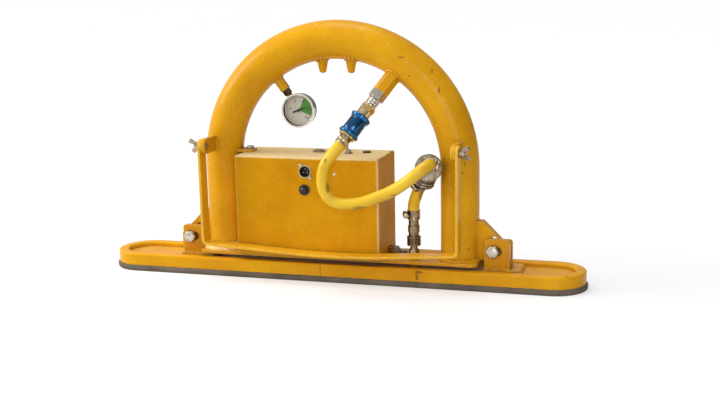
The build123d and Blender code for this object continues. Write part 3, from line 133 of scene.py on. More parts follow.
def seal_foam():
    """Brown foam with fine pores, dusty patches and a dark line at its joint."""
    finish, tree, shader, place = new_finish("seal_foam")
    pores = cloud(tree, place, scale=900.0, detail=2.0)
    dirt = cloud(tree, place, scale=14.0, detail=5.0)
    colour = blend_colour(tree, between(tree, dirt, 0.35, 0.7), foam_brown, foam_dusty)
    colour = blend_colour(tree, between(tree, pores, 0.55, 0.75), colour, foam_pore)
    across = put(tree, "SeparateXYZ", {0: place}).outputs["X"]
    from_joint = reckon(tree, "ABSOLUTE", reckon(tree, "SUBTRACT", across, seal_joint))
    joint = between(tree, from_joint, 0.0004, 0.0012, start=1.0, end=0.0)
    colour = blend_colour(tree, joint, colour, foam_joint)
    skin = rough_skin(tree, pores, 0.0006)
    feed(tree, shader, {"Base Color": colour, "Roughness": 0.85, "Normal": skin})
    return finish


seal = bmesh.new()
seal_section = [
    (seal_inner, 0.0), (seal_outer - 0.0012, 0.0), (seal_outer - 0.0002, 0.0016),
    (seal_outer + 0.0004, 0.0055), (seal_outer - 0.0004, 0.0095), (seal_outer - 0.0018, seal_height),
    (seal_inner, seal_height),
]
corners = [seal.verts.new((seal_half, -across, up)) for across, up in seal_section]
edge = [seal.edges.new(pair) for pair in zip(corners, corners[1:] + corners[:1])]
for side in (1, -1):
    turned = bmesh.ops.spin(seal, geom=edge, cent=(side * seal_half, 0, 0), axis=(0, 0, 1), angle=pi,
                            steps=seal_bend_steps)
    edge = [part for part in turned["geom_last"] if isinstance(part, bmesh.types.BMEdge)]
    run = bmesh.ops.extrude_edge_only(seal, edges=edge)["geom"]
    moved = [part for part in run if isinstance(part, bmesh.types.BMVert)]
    bmesh.ops.translate(seal, verts=moved, vec=(-side * 2 * seal_half, 0, 0))
    edge = [part for part in run if isinstance(part, bmesh.types.BMEdge)]
close_up(seal, seal_merge)
foam_seal = add_piece("foam_seal", seal, seal_foam(), sharp=60.0)
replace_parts(foam_seal, "pad_seal")


# Pad: a flat rim bar rolled to an oval and welded to the pad plate, with
# doubler plates and slotted lugs. All of it is brushed over with yellow enamel.
# The dust cream also paints light on upward faces, and the rub cream also paints highlights on the box's
# edges.
dust_and_top_light_cream, fleck_cream, rub_and_highlight_cream = (0.97, 0.80, 0.45, 1), (0.95, 0.74, 0.32, 1), (0.92, 0.76, 0.42, 1)
edge_highlight_yellow, scuff_brown = (0.96, 0.72, 0.22, 1), (0.30, 0.13, 0.012, 1)
# Darkest brown in corners: dirt and painted shade.
grime_and_shade_brown, bare_metal = (0.10, 0.050, 0.008, 1), (0.11, 0.065, 0.03, 1)


def times(tree, first, second):
    """Product of two values."""
    return reckon(tree, "MULTIPLY", first, second)


def most(tree, first, second):
    """The larger of two values."""
    return reckon(tree, "MAXIMUM", first, second)


def stretch(tree, place, factors):
    """The piece's coordinates, squeezed along each axis, for streaks and drips."""
    return put(tree, "Mapping", {"Vector": place, "Scale": factors}).outputs["Vector"]


def shift(tree, operation, first, second):
    """One vector changed by another."""
    return put(tree, "VectorMath", {0: first, 1: second}, operation=operation).outputs[0]


def length_of(tree, vector):
    """Length of a vector."""
    return put(tree, "VectorMath", {0: vector}, operation="LENGTH").outputs["Value"]


def along_of(tree, vector, axis):
    """How far a vector goes along an axis."""
    return put(tree, "VectorMath", {0: vector, 1: axis}, operation="DOT_PRODUCT").outputs["Value"]


def worn_spot(tree, place, centre, sizes):
    """1 round a place on a piece, with a ragged edge, and 0 beyond the half sizes."""
    away = shift(tree, "DIVIDE", shift(tree, "SUBTRACT", place, centre), sizes)
    torn = times(tree, cloud(tree, place, scale=520.0, detail=6.0, rough=0.7), 2.2)
    ragged = reckon(tree, "ADD", length_of(tree, away), torn)
    return between(tree, ragged, 1.75, 2.2, start=1.0, end=0.0)


def eased_edges(tree, radius, samples):
    """Normal rounded over edges, and how nearly it still faces as the true one does."""
    own = put(tree, "NewGeometry").outputs["Normal"]
    eased = put(tree, "Bevel", {"Radius": radius}, samples=samples).outputs["Normal"]
    return eased, along_of(tree, own, eased)


def openness(tree, distance, samples):
    """1 on open faces, less in corners."""
    return put(tree, "AmbientOcclusion", {"Distance": distance}, samples=samples).outputs["AO"]


def enamel(name, paint, shade, wear, grime_and_shade=0.5, gloss=0.28, dust=0.0, marks=(), shine=0.2, rubs_and_highlights=(),
           specks=0.3, edge=0.0026):
    """Gloss enamel: patchy colour, orange peel, worn edges with a painted highlight, dust with painted light
    on upward faces, dirt and painted shade in corners.
    """
    finish, tree, shader, place = new_finish(name)
    patches = cloud(tree, place, scale=9.0, detail=4.0)
    colour = blend_colour(tree, between(tree, patches, 0.35, 0.68), paint, shade)
    speckle = cloud(tree, place, scale=210.0, rough=0.7)
    colour = blend_colour(tree, between(tree, speckle, 0.48, 0.70, end=0.6), colour, shade)
    drips = cloud(tree, stretch(tree, place, (40.0, 40.0, 5.0)), scale=1.0, detail=4.0)
    colour = blend_colour(tree, between(tree, drips, 0.58, 0.8, end=0.35), colour, shade)
    # Upward faces are paled with cream dust, which also serves as painted light from above.
    upward = put(tree, "SeparateXYZ", {0: put(tree, "TexCoord").outputs["Normal"]}).outputs["Z"]
    settled = between(tree, upward, 0.75, 0.97, end=dust)
    settled = times(tree, settled, between(tree, speckle, 0.25, 0.6, start=0.55))
    colour = blend_colour(tree, settled, colour, dust_and_top_light_cream)
    # Corners are darkened by occlusion: dirt and painted shade.
    painted_corner_shade = between(tree, openness(tree, 0.02, 6), 0.3, 0.8, start=1.0, end=0.0)
    dirt = times(tree, painted_corner_shade, between(tree, patches, 0.15, 0.55, start=0.4))
    colour = blend_colour(tree, times(tree, dirt, grime_and_shade), colour, grime_and_shade_brown)
    scuffs = cloud(tree, stretch(tree, place, (30.0, 30.0, 240.0)), scale=1.0, detail=6.0, rough=0.7)
    colour = blend_colour(tree, between(tree, scuffs, 0.69, 0.73, end=0.6 * wear), colour, scuff_brown)
    flecks = cloud(tree, place, scale=330.0, detail=2.0, rough=0.5)
    colour = blend_colour(tree, between(tree, flecks, 0.65, 0.73, end=specks), colour, fleck_cream)
    eased, facing = eased_edges(tree, edge, 6)
    edge_near = between(tree, facing, 0.985, 0.86)
    # Edges are lightened towards a paler yellow: a painted highlight.
    colour = blend_colour(tree, times(tree, edge_near, 0.75), colour, edge_highlight_yellow)
    # Pale rubs: worn paint on the bail, painted highlights on the box.
    for centre, sizes in rubs_and_highlights:
        rub_and_highlight = times(tree, worn_spot(tree, place, centre, sizes), 0.7)
        colour = blend_colour(tree, rub_and_highlight, colour, rub_and_highlight_cream)
    chips = cloud(tree, place, scale=150.0, detail=5.0, rough=0.6)
    bare = times(tree, edge_near, between(tree, chips, 0.50, 0.60, end=wear))
    for centre, sizes in marks:
        bare = most(tree, bare, times(tree, worn_spot(tree, place, centre, sizes), 0.7))
    colour = blend_colour(tree, bare, colour, bare_metal)
    dull = between(tree, cloud(tree, place, scale=22.0, detail=4.0), 0.3, 0.75, gloss - 0.06, gloss + 0.16)
    dull = most(tree, dull, times(tree, settled, 0.9))
    dull = most(tree, dull, times(tree, bare, 0.7))
    skin = rough_skin(tree, cloud(tree, place, scale=420.0, detail=2.0), 0.00012, eased)
    feed(tree, shader, {"Base Color": colour, "Roughness": dull, "Specular IOR Level": shine, "Normal": skin})
    return finish


def coat(finish, *nodes):
    """Gives CAD nodes a finish."""
    for node in nodes:
        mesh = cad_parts[node].data
        mesh.materials.clear()
        mesh.materials.append(finish)


rim_marks = [
    ((0.1705, -0.061, 0.030), (0.009, 0.004, 0.003)), ((0.1675, -0.061, 0.021), (0.003, 0.004, 0.008)),
    ((0.444, -0.048, 0.033), (0.004, 0.003, 0.004)), ((-0.0237, -0.061, 0.024), (0.0012, 0.003, 0.013)),
]
# The rim's yellows are set lighter than the rest of the pad's enamel: painted light on the rim.
rim_lit_yellow, rim_lit_amber = (0.84, 0.430, 0.007, 1), (0.70, 0.31, 0.005, 1)
plate_yellow, plate_amber = (0.78, 0.37, 0.007, 1), (0.64, 0.27, 0.005, 1)
lug_yellow, lug_amber = (0.78, 0.36, 0.006, 1), (0.64, 0.265, 0.004, 1)
rim_paint = enamel("rim_enamel", rim_lit_yellow, rim_lit_amber, wear=0.7, marks=rim_marks, shine=0.12)
plate_paint = enamel("plate_enamel", plate_yellow, plate_amber, wear=0.7, grime_and_shade=0.4, dust=0.12, shine=0.05)
lug_paint = enamel("lug_enamel", lug_yellow, lug_amber, wear=0.7, grime_and_shade=0.6)
coat(rim_paint, "pad_rim")
coat(plate_paint, "pad_plate")
coat(lug_paint, "doubler_plates", "pad_lugs", "pad_port")


def as_mesh(curve):
    """The mesh that a curve or a text draws."""
    drawn = bpy.data.objects.new(curve.name + "_drawn", curve)
    scene.collection.objects.link(drawn)
    bpy.context.view_layer.update()
    mesh = bpy.data.meshes.new_from_object(drawn.evaluated_get(bpy.context.evaluated_depsgraph_get()))
    bpy.data.objects.remove(drawn)
    return mesh


def weld_bead(name, points, thick, finish, closed=False, rate=1.9, depth=0.16):
    """Bead of weld along a line of points, its ripples by their rate and depth."""
    even, swell, swell_rate, bead_merge = 0.86, 0.08, 0.83, 0.00001
    line = bpy.data.curves.new(name, "CURVE")
    line.dimensions = "3D"
    line.bevel_depth = thick
    line.bevel_resolution = 2
    line.use_fill_caps = True
    run = line.splines.new("POLY")
    run.points.add(len(points) - 1)
    for number, (knot, point) in enumerate(zip(run.points, points)):
        knot.co = (*point, 1.0)
        knot.radius = even + depth * sin(number * rate) + swell * sin(number * swell_rate)
    run.use_cyclic_u = closed
    mesh = as_mesh(line)
    shape = bmesh.new()
    shape.from_mesh(mesh)
    bpy.data.meshes.remove(mesh)
    close_up(shape, bead_merge)
    return add_piece(name, shape, finish, sharp=70.0)


def steps(start, end, count):
    """Evenly spaced numbers from start to end."""
    return [start + (end - start) * number / (count - 1) for number in range(count)]


weld_yellow, weld_amber = (0.80, 0.40, 0.010, 1), (0.64, 0.28, 0.005, 1)
weld_paint = enamel("weld_enamel", weld_yellow, weld_amber, wear=0.25, grime_and_shade=0.3, gloss=0.24)
lug_half, lug_face, lug_bead = 0.024, 0.0185, 0.0026
doubler_top, doubler_weld_height, doubler_overhang, doubler_bead = 0.034, 0.026, 0.020, 0.0028
for side, middle in (("left", -0.303), ("right", 0.311)):
    for row, face in (("front", -lug_face), ("rear", lug_face)):
        path = [(x, face, doubler_top) for x in steps(middle - lug_half, middle + lug_half, 26)]
        weld_bead(f"{side}_{row}_lug_weld", path, lug_bead, weld_paint)
    doubler_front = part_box("doubler_plates")[0].y
    span = steps(middle - lug_half, middle + lug_half + doubler_overhang, 34)
    path = [(x, doubler_front, doubler_weld_height) for x in span]
    weld_bead(f"{side}_doubler_weld", path, doubler_bead, weld_paint)


# Pad bolts: plated hex bolts through the lug slots, with nuts behind. The
# plating has gone dull and a little brown.
# Dark for the corners of the metals: dirt and painted shade.
metal_grime_and_shade = (0.035, 0.022, 0.012, 1)


def worked_metal(name, colour, stain, rough, stains=0.5, metallic=1.0):
    """Plated or machined metal with stains, a fine grain, edges lightened as a painted highlight and corners
    darkened with dirt and painted shade.
    """
    finish, tree, shader, place = new_finish(name)
    spread = cloud(tree, place, scale=55.0, detail=5.0, rough=0.65)
    tone = blend_colour(tree, between(tree, spread, 0.42, 0.72, end=stains), colour, stain)
    eased, facing = eased_edges(tree, 0.0008, 4)
    # Edges are lightened: a painted highlight.
    bright = tuple(min(1.0, part * 1.35) for part in colour[:3]) + (1,)
    tone = blend_colour(tree, between(tree, facing, 0.98, 0.85, end=0.7), tone, bright)
    # Corners are darkened: dirt and painted shade.
    painted_corner_shade = between(tree, openness(tree, 0.006, 4), 0.30, 0.85, start=0.8, end=0.0)
    tone = blend_colour(tree, painted_corner_shade, tone, metal_grime_and_shade)
    grain = cloud(tree, place, scale=260.0)
    dull = between(tree, grain, 0.3, 0.7, rough - 0.08, rough + 0.12)
    skin = rough_skin(tree, grain, 0.00008, eased)
    feed(tree, shader, {"Base Color": tone, "Metallic": metallic, "Roughness": dull, "Normal": skin})
    return finish


bolt_plate = worked_metal("bolt_plate", (0.62, 0.58, 0.50, 1), (0.30, 0.22, 0.13, 1), rough=0.32)
coat(bolt_plate, "pad_bolts", "pad_nuts")


def lathe(section, count, closed=True):
    """Bmesh turned about Z from a section of radius and height."""
    lathe_merge = 0.000005
    shape = bmesh.new()
    corners = [shape.verts.new((out, 0, along)) for out, along in section]
    pairs = list(zip(corners, corners[1:])) + ([(corners[-1], corners[0])] if closed else [])
    outline = [shape.edges.new(pair) for pair in pairs]
    bmesh.ops.spin(shape, geom=outline, cent=(0, 0, 0), axis=(0, 0, 1), angle=2 * pi, steps=count,
                   use_merge=True)
    close_up(shape, lathe_merge)
    return shape


def stand(origin, axis, side):
    """Matrix that sets a piece made along Z on an axis, its X towards a side."""
    axis = Vector(axis).normalized()
    side = (Vector(side) - axis * axis.dot(Vector(side))).normalized()
    turned = Matrix((side, axis.cross(side), axis)).transposed().to_4x4()
    turned.translation = Vector(origin)
    return turned


def set_on(shape, matrix):
    """Moves a whole bmesh to its place."""
    bmesh.ops.transform(shape, matrix=matrix, verts=shape.verts)


to_front, to_right = (0, -1, 0), (1, 0, 0)
bolt_front, bolt_height = -0.0305, 0.067
bolt_face = [(0.0, 0.0006), (0.0076, 0.0006), (0.0084, 0.0002), (0.0088, 0.0006), (0.0094, 0.0002),
             (0.0096, -0.0010), (0.0, -0.0010)]
for side, across in (("left", -0.310), ("right", 0.304)):
    face = lathe(bolt_face, 48, closed=False)
    set_on(face, stand((across, bolt_front, bolt_height), to_front, to_right))
    add_piece(f"{side}_bolt_face", face, bolt_plate)


# Arch: one length of thick tube bent to a half round on two straight legs,
# welded to a flat base plate. It is the lifting bow and the vacuum reservoir.
arch_marks = [
    ((0.1795, -0.030, 0.431), (0.005, 0.010, 0.003)), ((0.134, -0.028, 0.427), (0.009, 0.012, 0.002)),
    ((0.190, -0.034, 0.404), (0.003, 0.012, 0.008)), ((0.205, -0.034, 0.368), (0.002, 0.012, 0.006)),
    ((0.149, -0.034, 0.393), (0.002, 0.012, 0.002)), ((0.2525, -0.034, 0.2325), (0.002, 0.012, 0.003)),
    ((0.259, -0.030, 0.071), (0.002, 0.012, 0.003)), ((0.248, -0.034, 0.216), (0.003, 0.012, 0.0012)),
]
arch_yellow, arch_amber = (0.78, 0.394, 0.006, 1), (0.64, 0.292, 0.004, 1)
tube_paint = enamel("tube_enamel", arch_yellow, arch_amber, wear=0.45, grime_and_shade=0.45, gloss=0.24,
                    marks=arch_marks, shine=0.1, specks=0.5, edge=0.0)
bracket_paint = enamel("bracket_enamel", arch_yellow, arch_amber, wear=0.45, grime_and_shade=0.45, gloss=0.24,
                       shine=0.1, specks=0.35)
# The left foot's weld mound is painted pale cream: dust with a painted highlight.
foot_dust_and_highlight_cream, foot_dust_and_highlight_yellow = (0.94, 0.74, 0.38, 1), (0.88, 0.58, 0.16, 1)
foot_dust_and_highlight_paint = enamel("foot_enamel", foot_dust_and_highlight_cream, foot_dust_and_highlight_yellow, wear=0.1, grime_and_shade=0.15, gloss=0.24, dust=0.7)
coat(tube_paint, "arch_bend", "left_leg", "right_leg")
coat(bracket_paint, "base_plate", "gussets", "hook_lugs", "gauge_boss", "valve_boss", "bail_lugs",
     "hold_down_tab")
bow_radius, bow_tube, bow_height, base_top = 0.237, 0.0365, 0.220, 0.047


def tube_gap(spot):
    """Distance of a point from the skin of the bent tube."""
    return hypot(hypot(spot[0], spot[2] - bow_height) - bow_radius, spot[1]) - bow_tube


def ring_on_bow(start, axis, radius, count):
    """Points where a round bar along an axis meets the bent tube."""
    tries, stride = 60, 0.8
    axis = Vector(axis).normalized()
    across = axis.cross(Vector((0, 1, 0))).normalized()
    upright = axis.cross(across)
    points = []
    for turn in steps(0.0, 2 * pi, count + 1)[:-1]:
        spot = Vector(start) + across * radius * cos(turn) + upright * radius * sin(turn)
        for _ in range(tries):
            spot = spot + axis * tube_gap(spot) * stride
        points.append(tuple(spot))
    return points


foot_reach, foot_bead = bow_tube + 0.002, 0.0050
gusset_face, gusset_top, gusset_bead = 0.010, 0.121, 0.0024
stud_across, stud_under, stud_round, stud_bead = 0.0282, 0.405, 0.0106, 0.0030
for side, sign in (("left", -1), ("right", 1)):
    foot_ring = [(sign * bow_radius + foot_reach * cos(turn), foot_reach * sin(turn), base_top)
                 for turn in steps(0.0, 2 * pi, 71)[:-1]]
    weld_bead(f"{side}_foot_weld", foot_ring, foot_bead, weld_paint, closed=True)
    for row, face in (("front", -gusset_face), ("rear", gusset_face)):
        leg_skin = sign * (bow_radius + sqrt(bow_tube**2 - face**2))
        path = [(leg_skin, face, up) for up in steps(base_top, gusset_top, 34)]
        weld_bead(f"{side}_{row}_gusset_weld", path, gusset_bead, weld_paint)
    stud_ring = ring_on_bow((sign * stud_across, 0.0, stud_under), (0, 0, 1), stud_round, 40)
    weld_bead(f"{side}_stud_weld", stud_ring, stud_bead, weld_paint, closed=True)
mound_turns = steps(radians(174), radians(366), 40)
mound_layers = ((0.0030, 0.0, 0.0090), (0.0006, 0.0095, 0.0068))
for number, (out, rise, thick) in enumerate(mound_layers):
    reach = bow_tube + out
    arc = [(reach * cos(turn) - bow_radius, reach * sin(turn), base_top + rise) for turn in mound_turns]
    weld_bead(f"left_foot_front_weld_{number + 1}", arc, thick, foot_dust_and_highlight_paint, rate=1.7, depth=0.07)
crown_half, crown_tilt, crown_bead = 0.040, radians(34), 0.0042
for row, tilt in (("front", crown_tilt), ("rear", -crown_tilt)):
    out = bow_radius - bow_tube * cos(tilt)
    span = steps(-crown_half, crown_half, 81)
    path = [(x, -bow_tube * sin(tilt), bow_height + sqrt(out**2 - x**2)) for x in span]
    weld_bead(f"{row}_crown_weld", path, crown_bead, weld_paint, rate=0.9, depth=0.34)
gauge_turn, valve_turn, valve_lean = radians(126.5), radians(56.3), radians(30.0)
gauge_in = Vector((-cos(gauge_turn), 0.0, -sin(gauge_turn)))
valve_in = Vector((-cos(valve_turn) * cos(valve_lean), -sin(valve_lean), -sin(valve_turn) * cos(valve_lean)))
gauge_root = Vector((bow_radius * cos(gauge_turn), 0.0, bow_height + bow_radius * sin(gauge_turn)))
valve_root = Vector((bow_radius * cos(valve_turn), 0.0, bow_height + bow_radius * sin(valve_turn)))
gauge_boss_end, gauge_boss_round, gauge_boss_bead = 0.050, 0.0098, 0.0026
valve_boss_end, valve_boss_round, valve_boss_bead = 0.056, 0.0152, 0.0028
gauge_ring = ring_on_bow(gauge_root + gauge_in * gauge_boss_end, -gauge_in, gauge_boss_round, 40)
weld_bead("gauge_boss_weld", gauge_ring, gauge_boss_bead, weld_paint, closed=True)
valve_ring = ring_on_bow(valve_root + valve_in * valve_boss_end, -valve_in, valve_boss_round, 50)
weld_bead("valve_boss_weld", valve_ring, valve_boss_bead, weld_paint, closed=True)
bail_plate_low, bail_plate_high, bail_plate_bead = 0.2455, 0.2745, 0.0022
for side, sign in (("left", -1), ("right", 1)):
    for row, plate in (("inner", 0.2387), ("outer", 0.2472)):
        path = []
        for up in steps(bail_plate_low, bail_plate_high, 18):
            off = hypot(plate, up - bow_height) - bow_radius
            path.append((sign * plate, -sqrt(bow_tube**2 - off**2), up))
        weld_bead(f"{side}_{row}_plate_weld", path, bail_plate_bead, weld_paint)


# Front bail: a flat bar bent to a wide U, hung on two pivot bolts. Its top edge
# is rubbed pale where hands and straps have touched it.
bail_rubs = [
    ((0.145, -0.068, 0.062), (0.016, 0.006, 0.003)), ((0.172, -0.068, 0.062), (0.012, 0.006, 0.003)),
    ((-0.122, -0.072, 0.062), (0.010, 0.005, 0.003)),
]
bail_yellow, bail_amber = (0.92, 0.51, 0.012, 1), (0.78, 0.38, 0.007, 1)
bail_paint = enamel("bail_enamel", bail_yellow, bail_amber, wear=0.6, grime_and_shade=0.30, gloss=0.30,
                    rubs_and_highlights=bail_rubs)
coat(bail_paint, "bail")


# Wing nuts and pivot bolts: cast nuts with dull, tarnished plating, so that
# the bail can be taken off without a spanner.
tarnished = worked_metal("tarnished_plate", (0.50, 0.42, 0.31, 1), (0.20, 0.13, 0.07, 1), rough=0.38,
                         stains=0.75)
coat(tarnished, "left_wing_nut", "right_wing_nut", "bail_bolts")


# Pump box: a folded sheet case with a screwed back cover, painted smoother
# than the arch. It holds the battery, the pump and the vacuum switch.
box_marks = [((0.0925, 0.040, 0.240), (0.004, 0.010, 0.003)), ((0.093, 0.012, 0.240), (0.003, 0.004, 0.003))]
# The two pale lines along the box's front top edge and front right edge are painted highlights.
box_edge_highlights = [
    ((0.0945, -0.0615, 0.165), (0.0032, 0.0032, 0.125)), ((-0.050, -0.0615, 0.2400), (0.230, 0.0025, 0.0025)),
]
# The box's yellows are set darker than the arch's and the rim's: painted shade on the box.
box_shaded_yellow, box_shaded_amber = (0.71, 0.335, 0.007, 1), (0.57, 0.245, 0.004, 1)
box_paint = enamel("box_enamel", box_shaded_yellow, box_shaded_amber, wear=0.5, grime_and_shade=0.35, gloss=0.40, dust=0.9,
                   marks=box_marks, shine=0.02, rubs_and_highlights=box_edge_highlights, specks=0.2, edge=0.0055)
coat(box_paint, "box_case", "back_cover")
screw_plate = worked_metal("screw_plate", (0.55, 0.52, 0.46, 1), (0.25, 0.19, 0.12, 1), rough=0.34)
coat(screw_plate, "case_screws", "box_bolts")
clip_steel = worked_metal("clip_steel", (0.42, 0.34, 0.22, 1), (0.10, 0.06, 0.03, 1), rough=0.28, stains=0.9)
coat(clip_steel, "box_clip")


# Box fittings: three-pin charge socket, push button, lamp, toggle switch,
# buzzer and a wire pull ring, each let into the case by its own hole.
def moulded(name, colour, dust, rough):
    """Moulded plastic or rubber: fine grain, dusty patches."""
    finish, tree, shader, place = new_finish(name)
    settled = between(tree, cloud(tree, place, scale=60.0, detail=5.0), 0.5, 0.8, end=0.4)
    grain = cloud(tree, place, scale=1400.0, detail=2.0)
    dull = between(tree, grain, 0.3, 0.7, rough - 0.06, rough + 0.1)
    skin = rough_skin(tree, grain, 0.00006)
    tone = blend_colour(tree, settled, colour, dust)
    feed(tree, shader, {"Base Color": tone, "Roughness": dull, "Normal": skin})
    return finish


box_face, socket_mouth = -0.062, 0.009
socket_centre, button_centre = Vector((-0.048, box_face, 0.214)), Vector((-0.050, box_face, 0.179))
cast_bright, cast_dull, mouth_black = (0.80, 0.70, 0.48, 1), (0.60, 0.48, 0.26, 1), (0.006, 0.006, 0.006, 1)


def socket_shell():
    """Die-cast shell, bright on its rim and black inside its mouth."""
    finish, tree, shader, place = new_finish("socket_shell")
    away = shift(tree, "MULTIPLY", shift(tree, "SUBTRACT", place, socket_centre), (1, 0, 1))
    rim_start, rim_end = socket_mouth + 0.0018, socket_mouth + 0.0022
    inside = between(tree, length_of(tree, away), rim_start, rim_end, start=1.0, end=0.0)
    cast = blend_colour(tree, cloud(tree, place, scale=300.0), cast_bright, cast_dull)
    feed(tree, shader, {
        "Base Color": blend_colour(tree, inside, cast, mouth_black),
        "Metallic": between(tree, inside, 0.0, 1.0, start=0.6, end=0.0),
        "Roughness": between(tree, cloud(tree, place, scale=500.0), 0.3, 0.7, start=0.30, end=0.45),
        "Normal": rough_skin(tree, cloud(tree, place, scale=900.0), 0.00005),
    })
    return finish


coat(socket_shell(), "charge_socket")
socket_metal = worked_metal("socket_metal", (0.66, 0.63, 0.56, 1), (0.32, 0.26, 0.18, 1), rough=0.28)
coat(socket_metal, "toggle_lever")
pin_circle, pin_depth = 0.0046, 0.0095
pin_section = [(0.0, 0.0), (0.00138, 0.0), (0.00138, 0.0068), (0.0009, 0.0078), (0.0, 0.0080)]
pin_ends = bmesh.new()
for turn in (radians(90), radians(210), radians(330)):
    pin = lathe(pin_section, 20, closed=False)
    pin_place = socket_centre + Vector((pin_circle * cos(turn), pin_depth, pin_circle * sin(turn)))
    set_on(pin, stand(pin_place, to_front, to_right))
    pin_mesh = bpy.data.meshes.new("pin")
    pin.to_mesh(pin_mesh)
    pin.free()
    pin_ends.from_mesh(pin_mesh)
    bpy.data.meshes.remove(pin_mesh)
add_piece("socket_pins", pin_ends, socket_metal)
black_moulding = moulded("black_moulding", (0.014, 0.013, 0.012, 1), (0.09, 0.08, 0.06, 1), rough=0.42)
coat(black_moulding, "alarm_buzzer", "battery", "vacuum_switch", "button_ring")
switch_bush = worked_metal("switch_bush", (0.46, 0.42, 0.34, 1), (0.16, 0.13, 0.10, 1), rough=0.30)
coat(switch_bush, "toggle_switch")
ring_wire = worked_metal("ring_wire", (0.34, 0.28, 0.20, 1), (0.12, 0.08, 0.05, 1), rough=0.28)
coat(ring_wire, "lid_ring", "ring_staple")
lamp_lens = moulded("lamp_lens", (0.80, 0.74, 0.58, 1), (0.55, 0.47, 0.30, 1), rough=0.16)
coat(lamp_lens, "indicator_lamp")
boot_section = [(0.0, 0.0090), (0.0026, 0.0088), (0.0044, 0.0080), (0.0050, 0.0072), (0.0056, 0.0070),
                (0.0066, 0.0058), (0.0072, 0.0040), (0.0074, 0.0016), (0.0074, -0.0130), (0.0, -0.0130)]
boot_lobes, lobe_depth, lobe_foot = 6, 0.09, 0.0012
boot = lathe(boot_section, 40, closed=False)
for point in boot.verts:
    lobe = 1 - lobe_depth * (0.5 + 0.5 * cos(boot_lobes * atan2(point.co.y, point.co.x)))
    if point.co.z > lobe_foot:
        bmesh.ops.scale(boot, verts=[point], vec=(lobe, lobe, 1))
set_on(boot, stand(button_centre, to_front, to_right))
rubber_boot = moulded("rubber_boot", (0.012, 0.011, 0.010, 1), (0.10, 0.088, 0.066, 1), rough=0.30)
button_boot = add_piece("button_boot", boot, rubber_boot, "button_body", sharp=50.0)
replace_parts(button_boot, "push_button")


# Works inside the box: motor, shaft, pump head, suction tubes and the nipple
# into the left leg. The closed case hides them, so their finishes are plain.
motor_steel = worked_metal("motor_steel", (0.45, 0.44, 0.42, 1), (0.25, 0.22, 0.18, 1), rough=0.4)
coat(motor_steel, "pump_motor", "pump_shaft")
cast_head = worked_metal("cast_head", (0.55, 0.55, 0.54, 1), (0.34, 0.32, 0.29, 1), rough=0.5)
coat(cast_head, "pump_head")
tube_rubber = moulded("tube_rubber", (0.03, 0.03, 0.03, 1), (0.10, 0.10, 0.09, 1), rough=0.55)
coat(tube_rubber, "suction_tubes")
coat(screw_plate, "reservoir_nipple")


# Vacuum gauge: steel case with a bright bezel and a printed dial under glass.
# The green part of the dial is the range in which the pad holds safely.
bezel_steel = worked_metal("gauge_bezel_steel", (0.66, 0.63, 0.56, 1), (0.40, 0.34, 0.25, 1), rough=0.20,
                           stains=0.4)
case_black, case_rust = (0.035, 0.026, 0.018, 1), (0.16, 0.115, 0.065, 1)
case_enamel = worked_metal("gauge_case_enamel", case_black, case_rust, rough=0.3, stains=0.7, metallic=0.3)
stem_brass = worked_metal("gauge_stem_brass", (0.09, 0.05, 0.022, 1), (0.012, 0.009, 0.006, 1), rough=0.4,
                          stains=0.9)
coat(bezel_steel, "gauge_bezel")
coat(case_enamel, "gauge_case")
coat(stem_brass, "gauge_stem")
dial_print = moulded("dial_print", (0.86, 0.80, 0.66, 1), (0.66, 0.59, 0.46, 1), rough=0.5)
coat(dial_print, "gauge_dial")
pointer_black = moulded("pointer_black", (0.012, 0.012, 0.012, 1), (0.03, 0.03, 0.03, 1), rough=0.4)
coat(pointer_black, "gauge_pointer")


def gauge_glass():
    """Clear glass with faint smears."""
    finish, tree, shader, place = new_finish("gauge_glass")
    smear = between(tree, cloud(tree, place, scale=90.0, detail=4.0), 0.4, 0.75, start=0.02, end=0.10)
    feed(tree, shader, {"Base Color": (0.02, 0.02, 0.02, 1), "Roughness": smear, "IOR": 1.5, "Alpha": 0.10})
    return finish


coat(gauge_glass(), "gauge_lens")
dial_ink = moulded("dial_ink", (0.03, 0.03, 0.03, 1), (0.10, 0.09, 0.08, 1), rough=0.5)
dial_green = moulded("dial_green", (0.085, 0.38, 0.035, 1), (0.16, 0.42, 0.08, 1), rough=0.5)
gauge_reach, dial_face, ink_thick, ink_merge = 0.109, -0.0060, 0.00012, 0.000002
gauge_centre = gauge_root + gauge_in * gauge_reach


def on_dial(shape):
    """Turns a thin shape drawn in X and Y, with its face up, to the dial's face."""
    bmesh.ops.rotate(shape, verts=shape.verts, cent=(0, 0, 0), matrix=Matrix.Rotation(radians(90), 3, "X"))
    bmesh.ops.translate(shape, verts=shape.verts, vec=gauge_centre + Vector((0, dial_face, 0)))


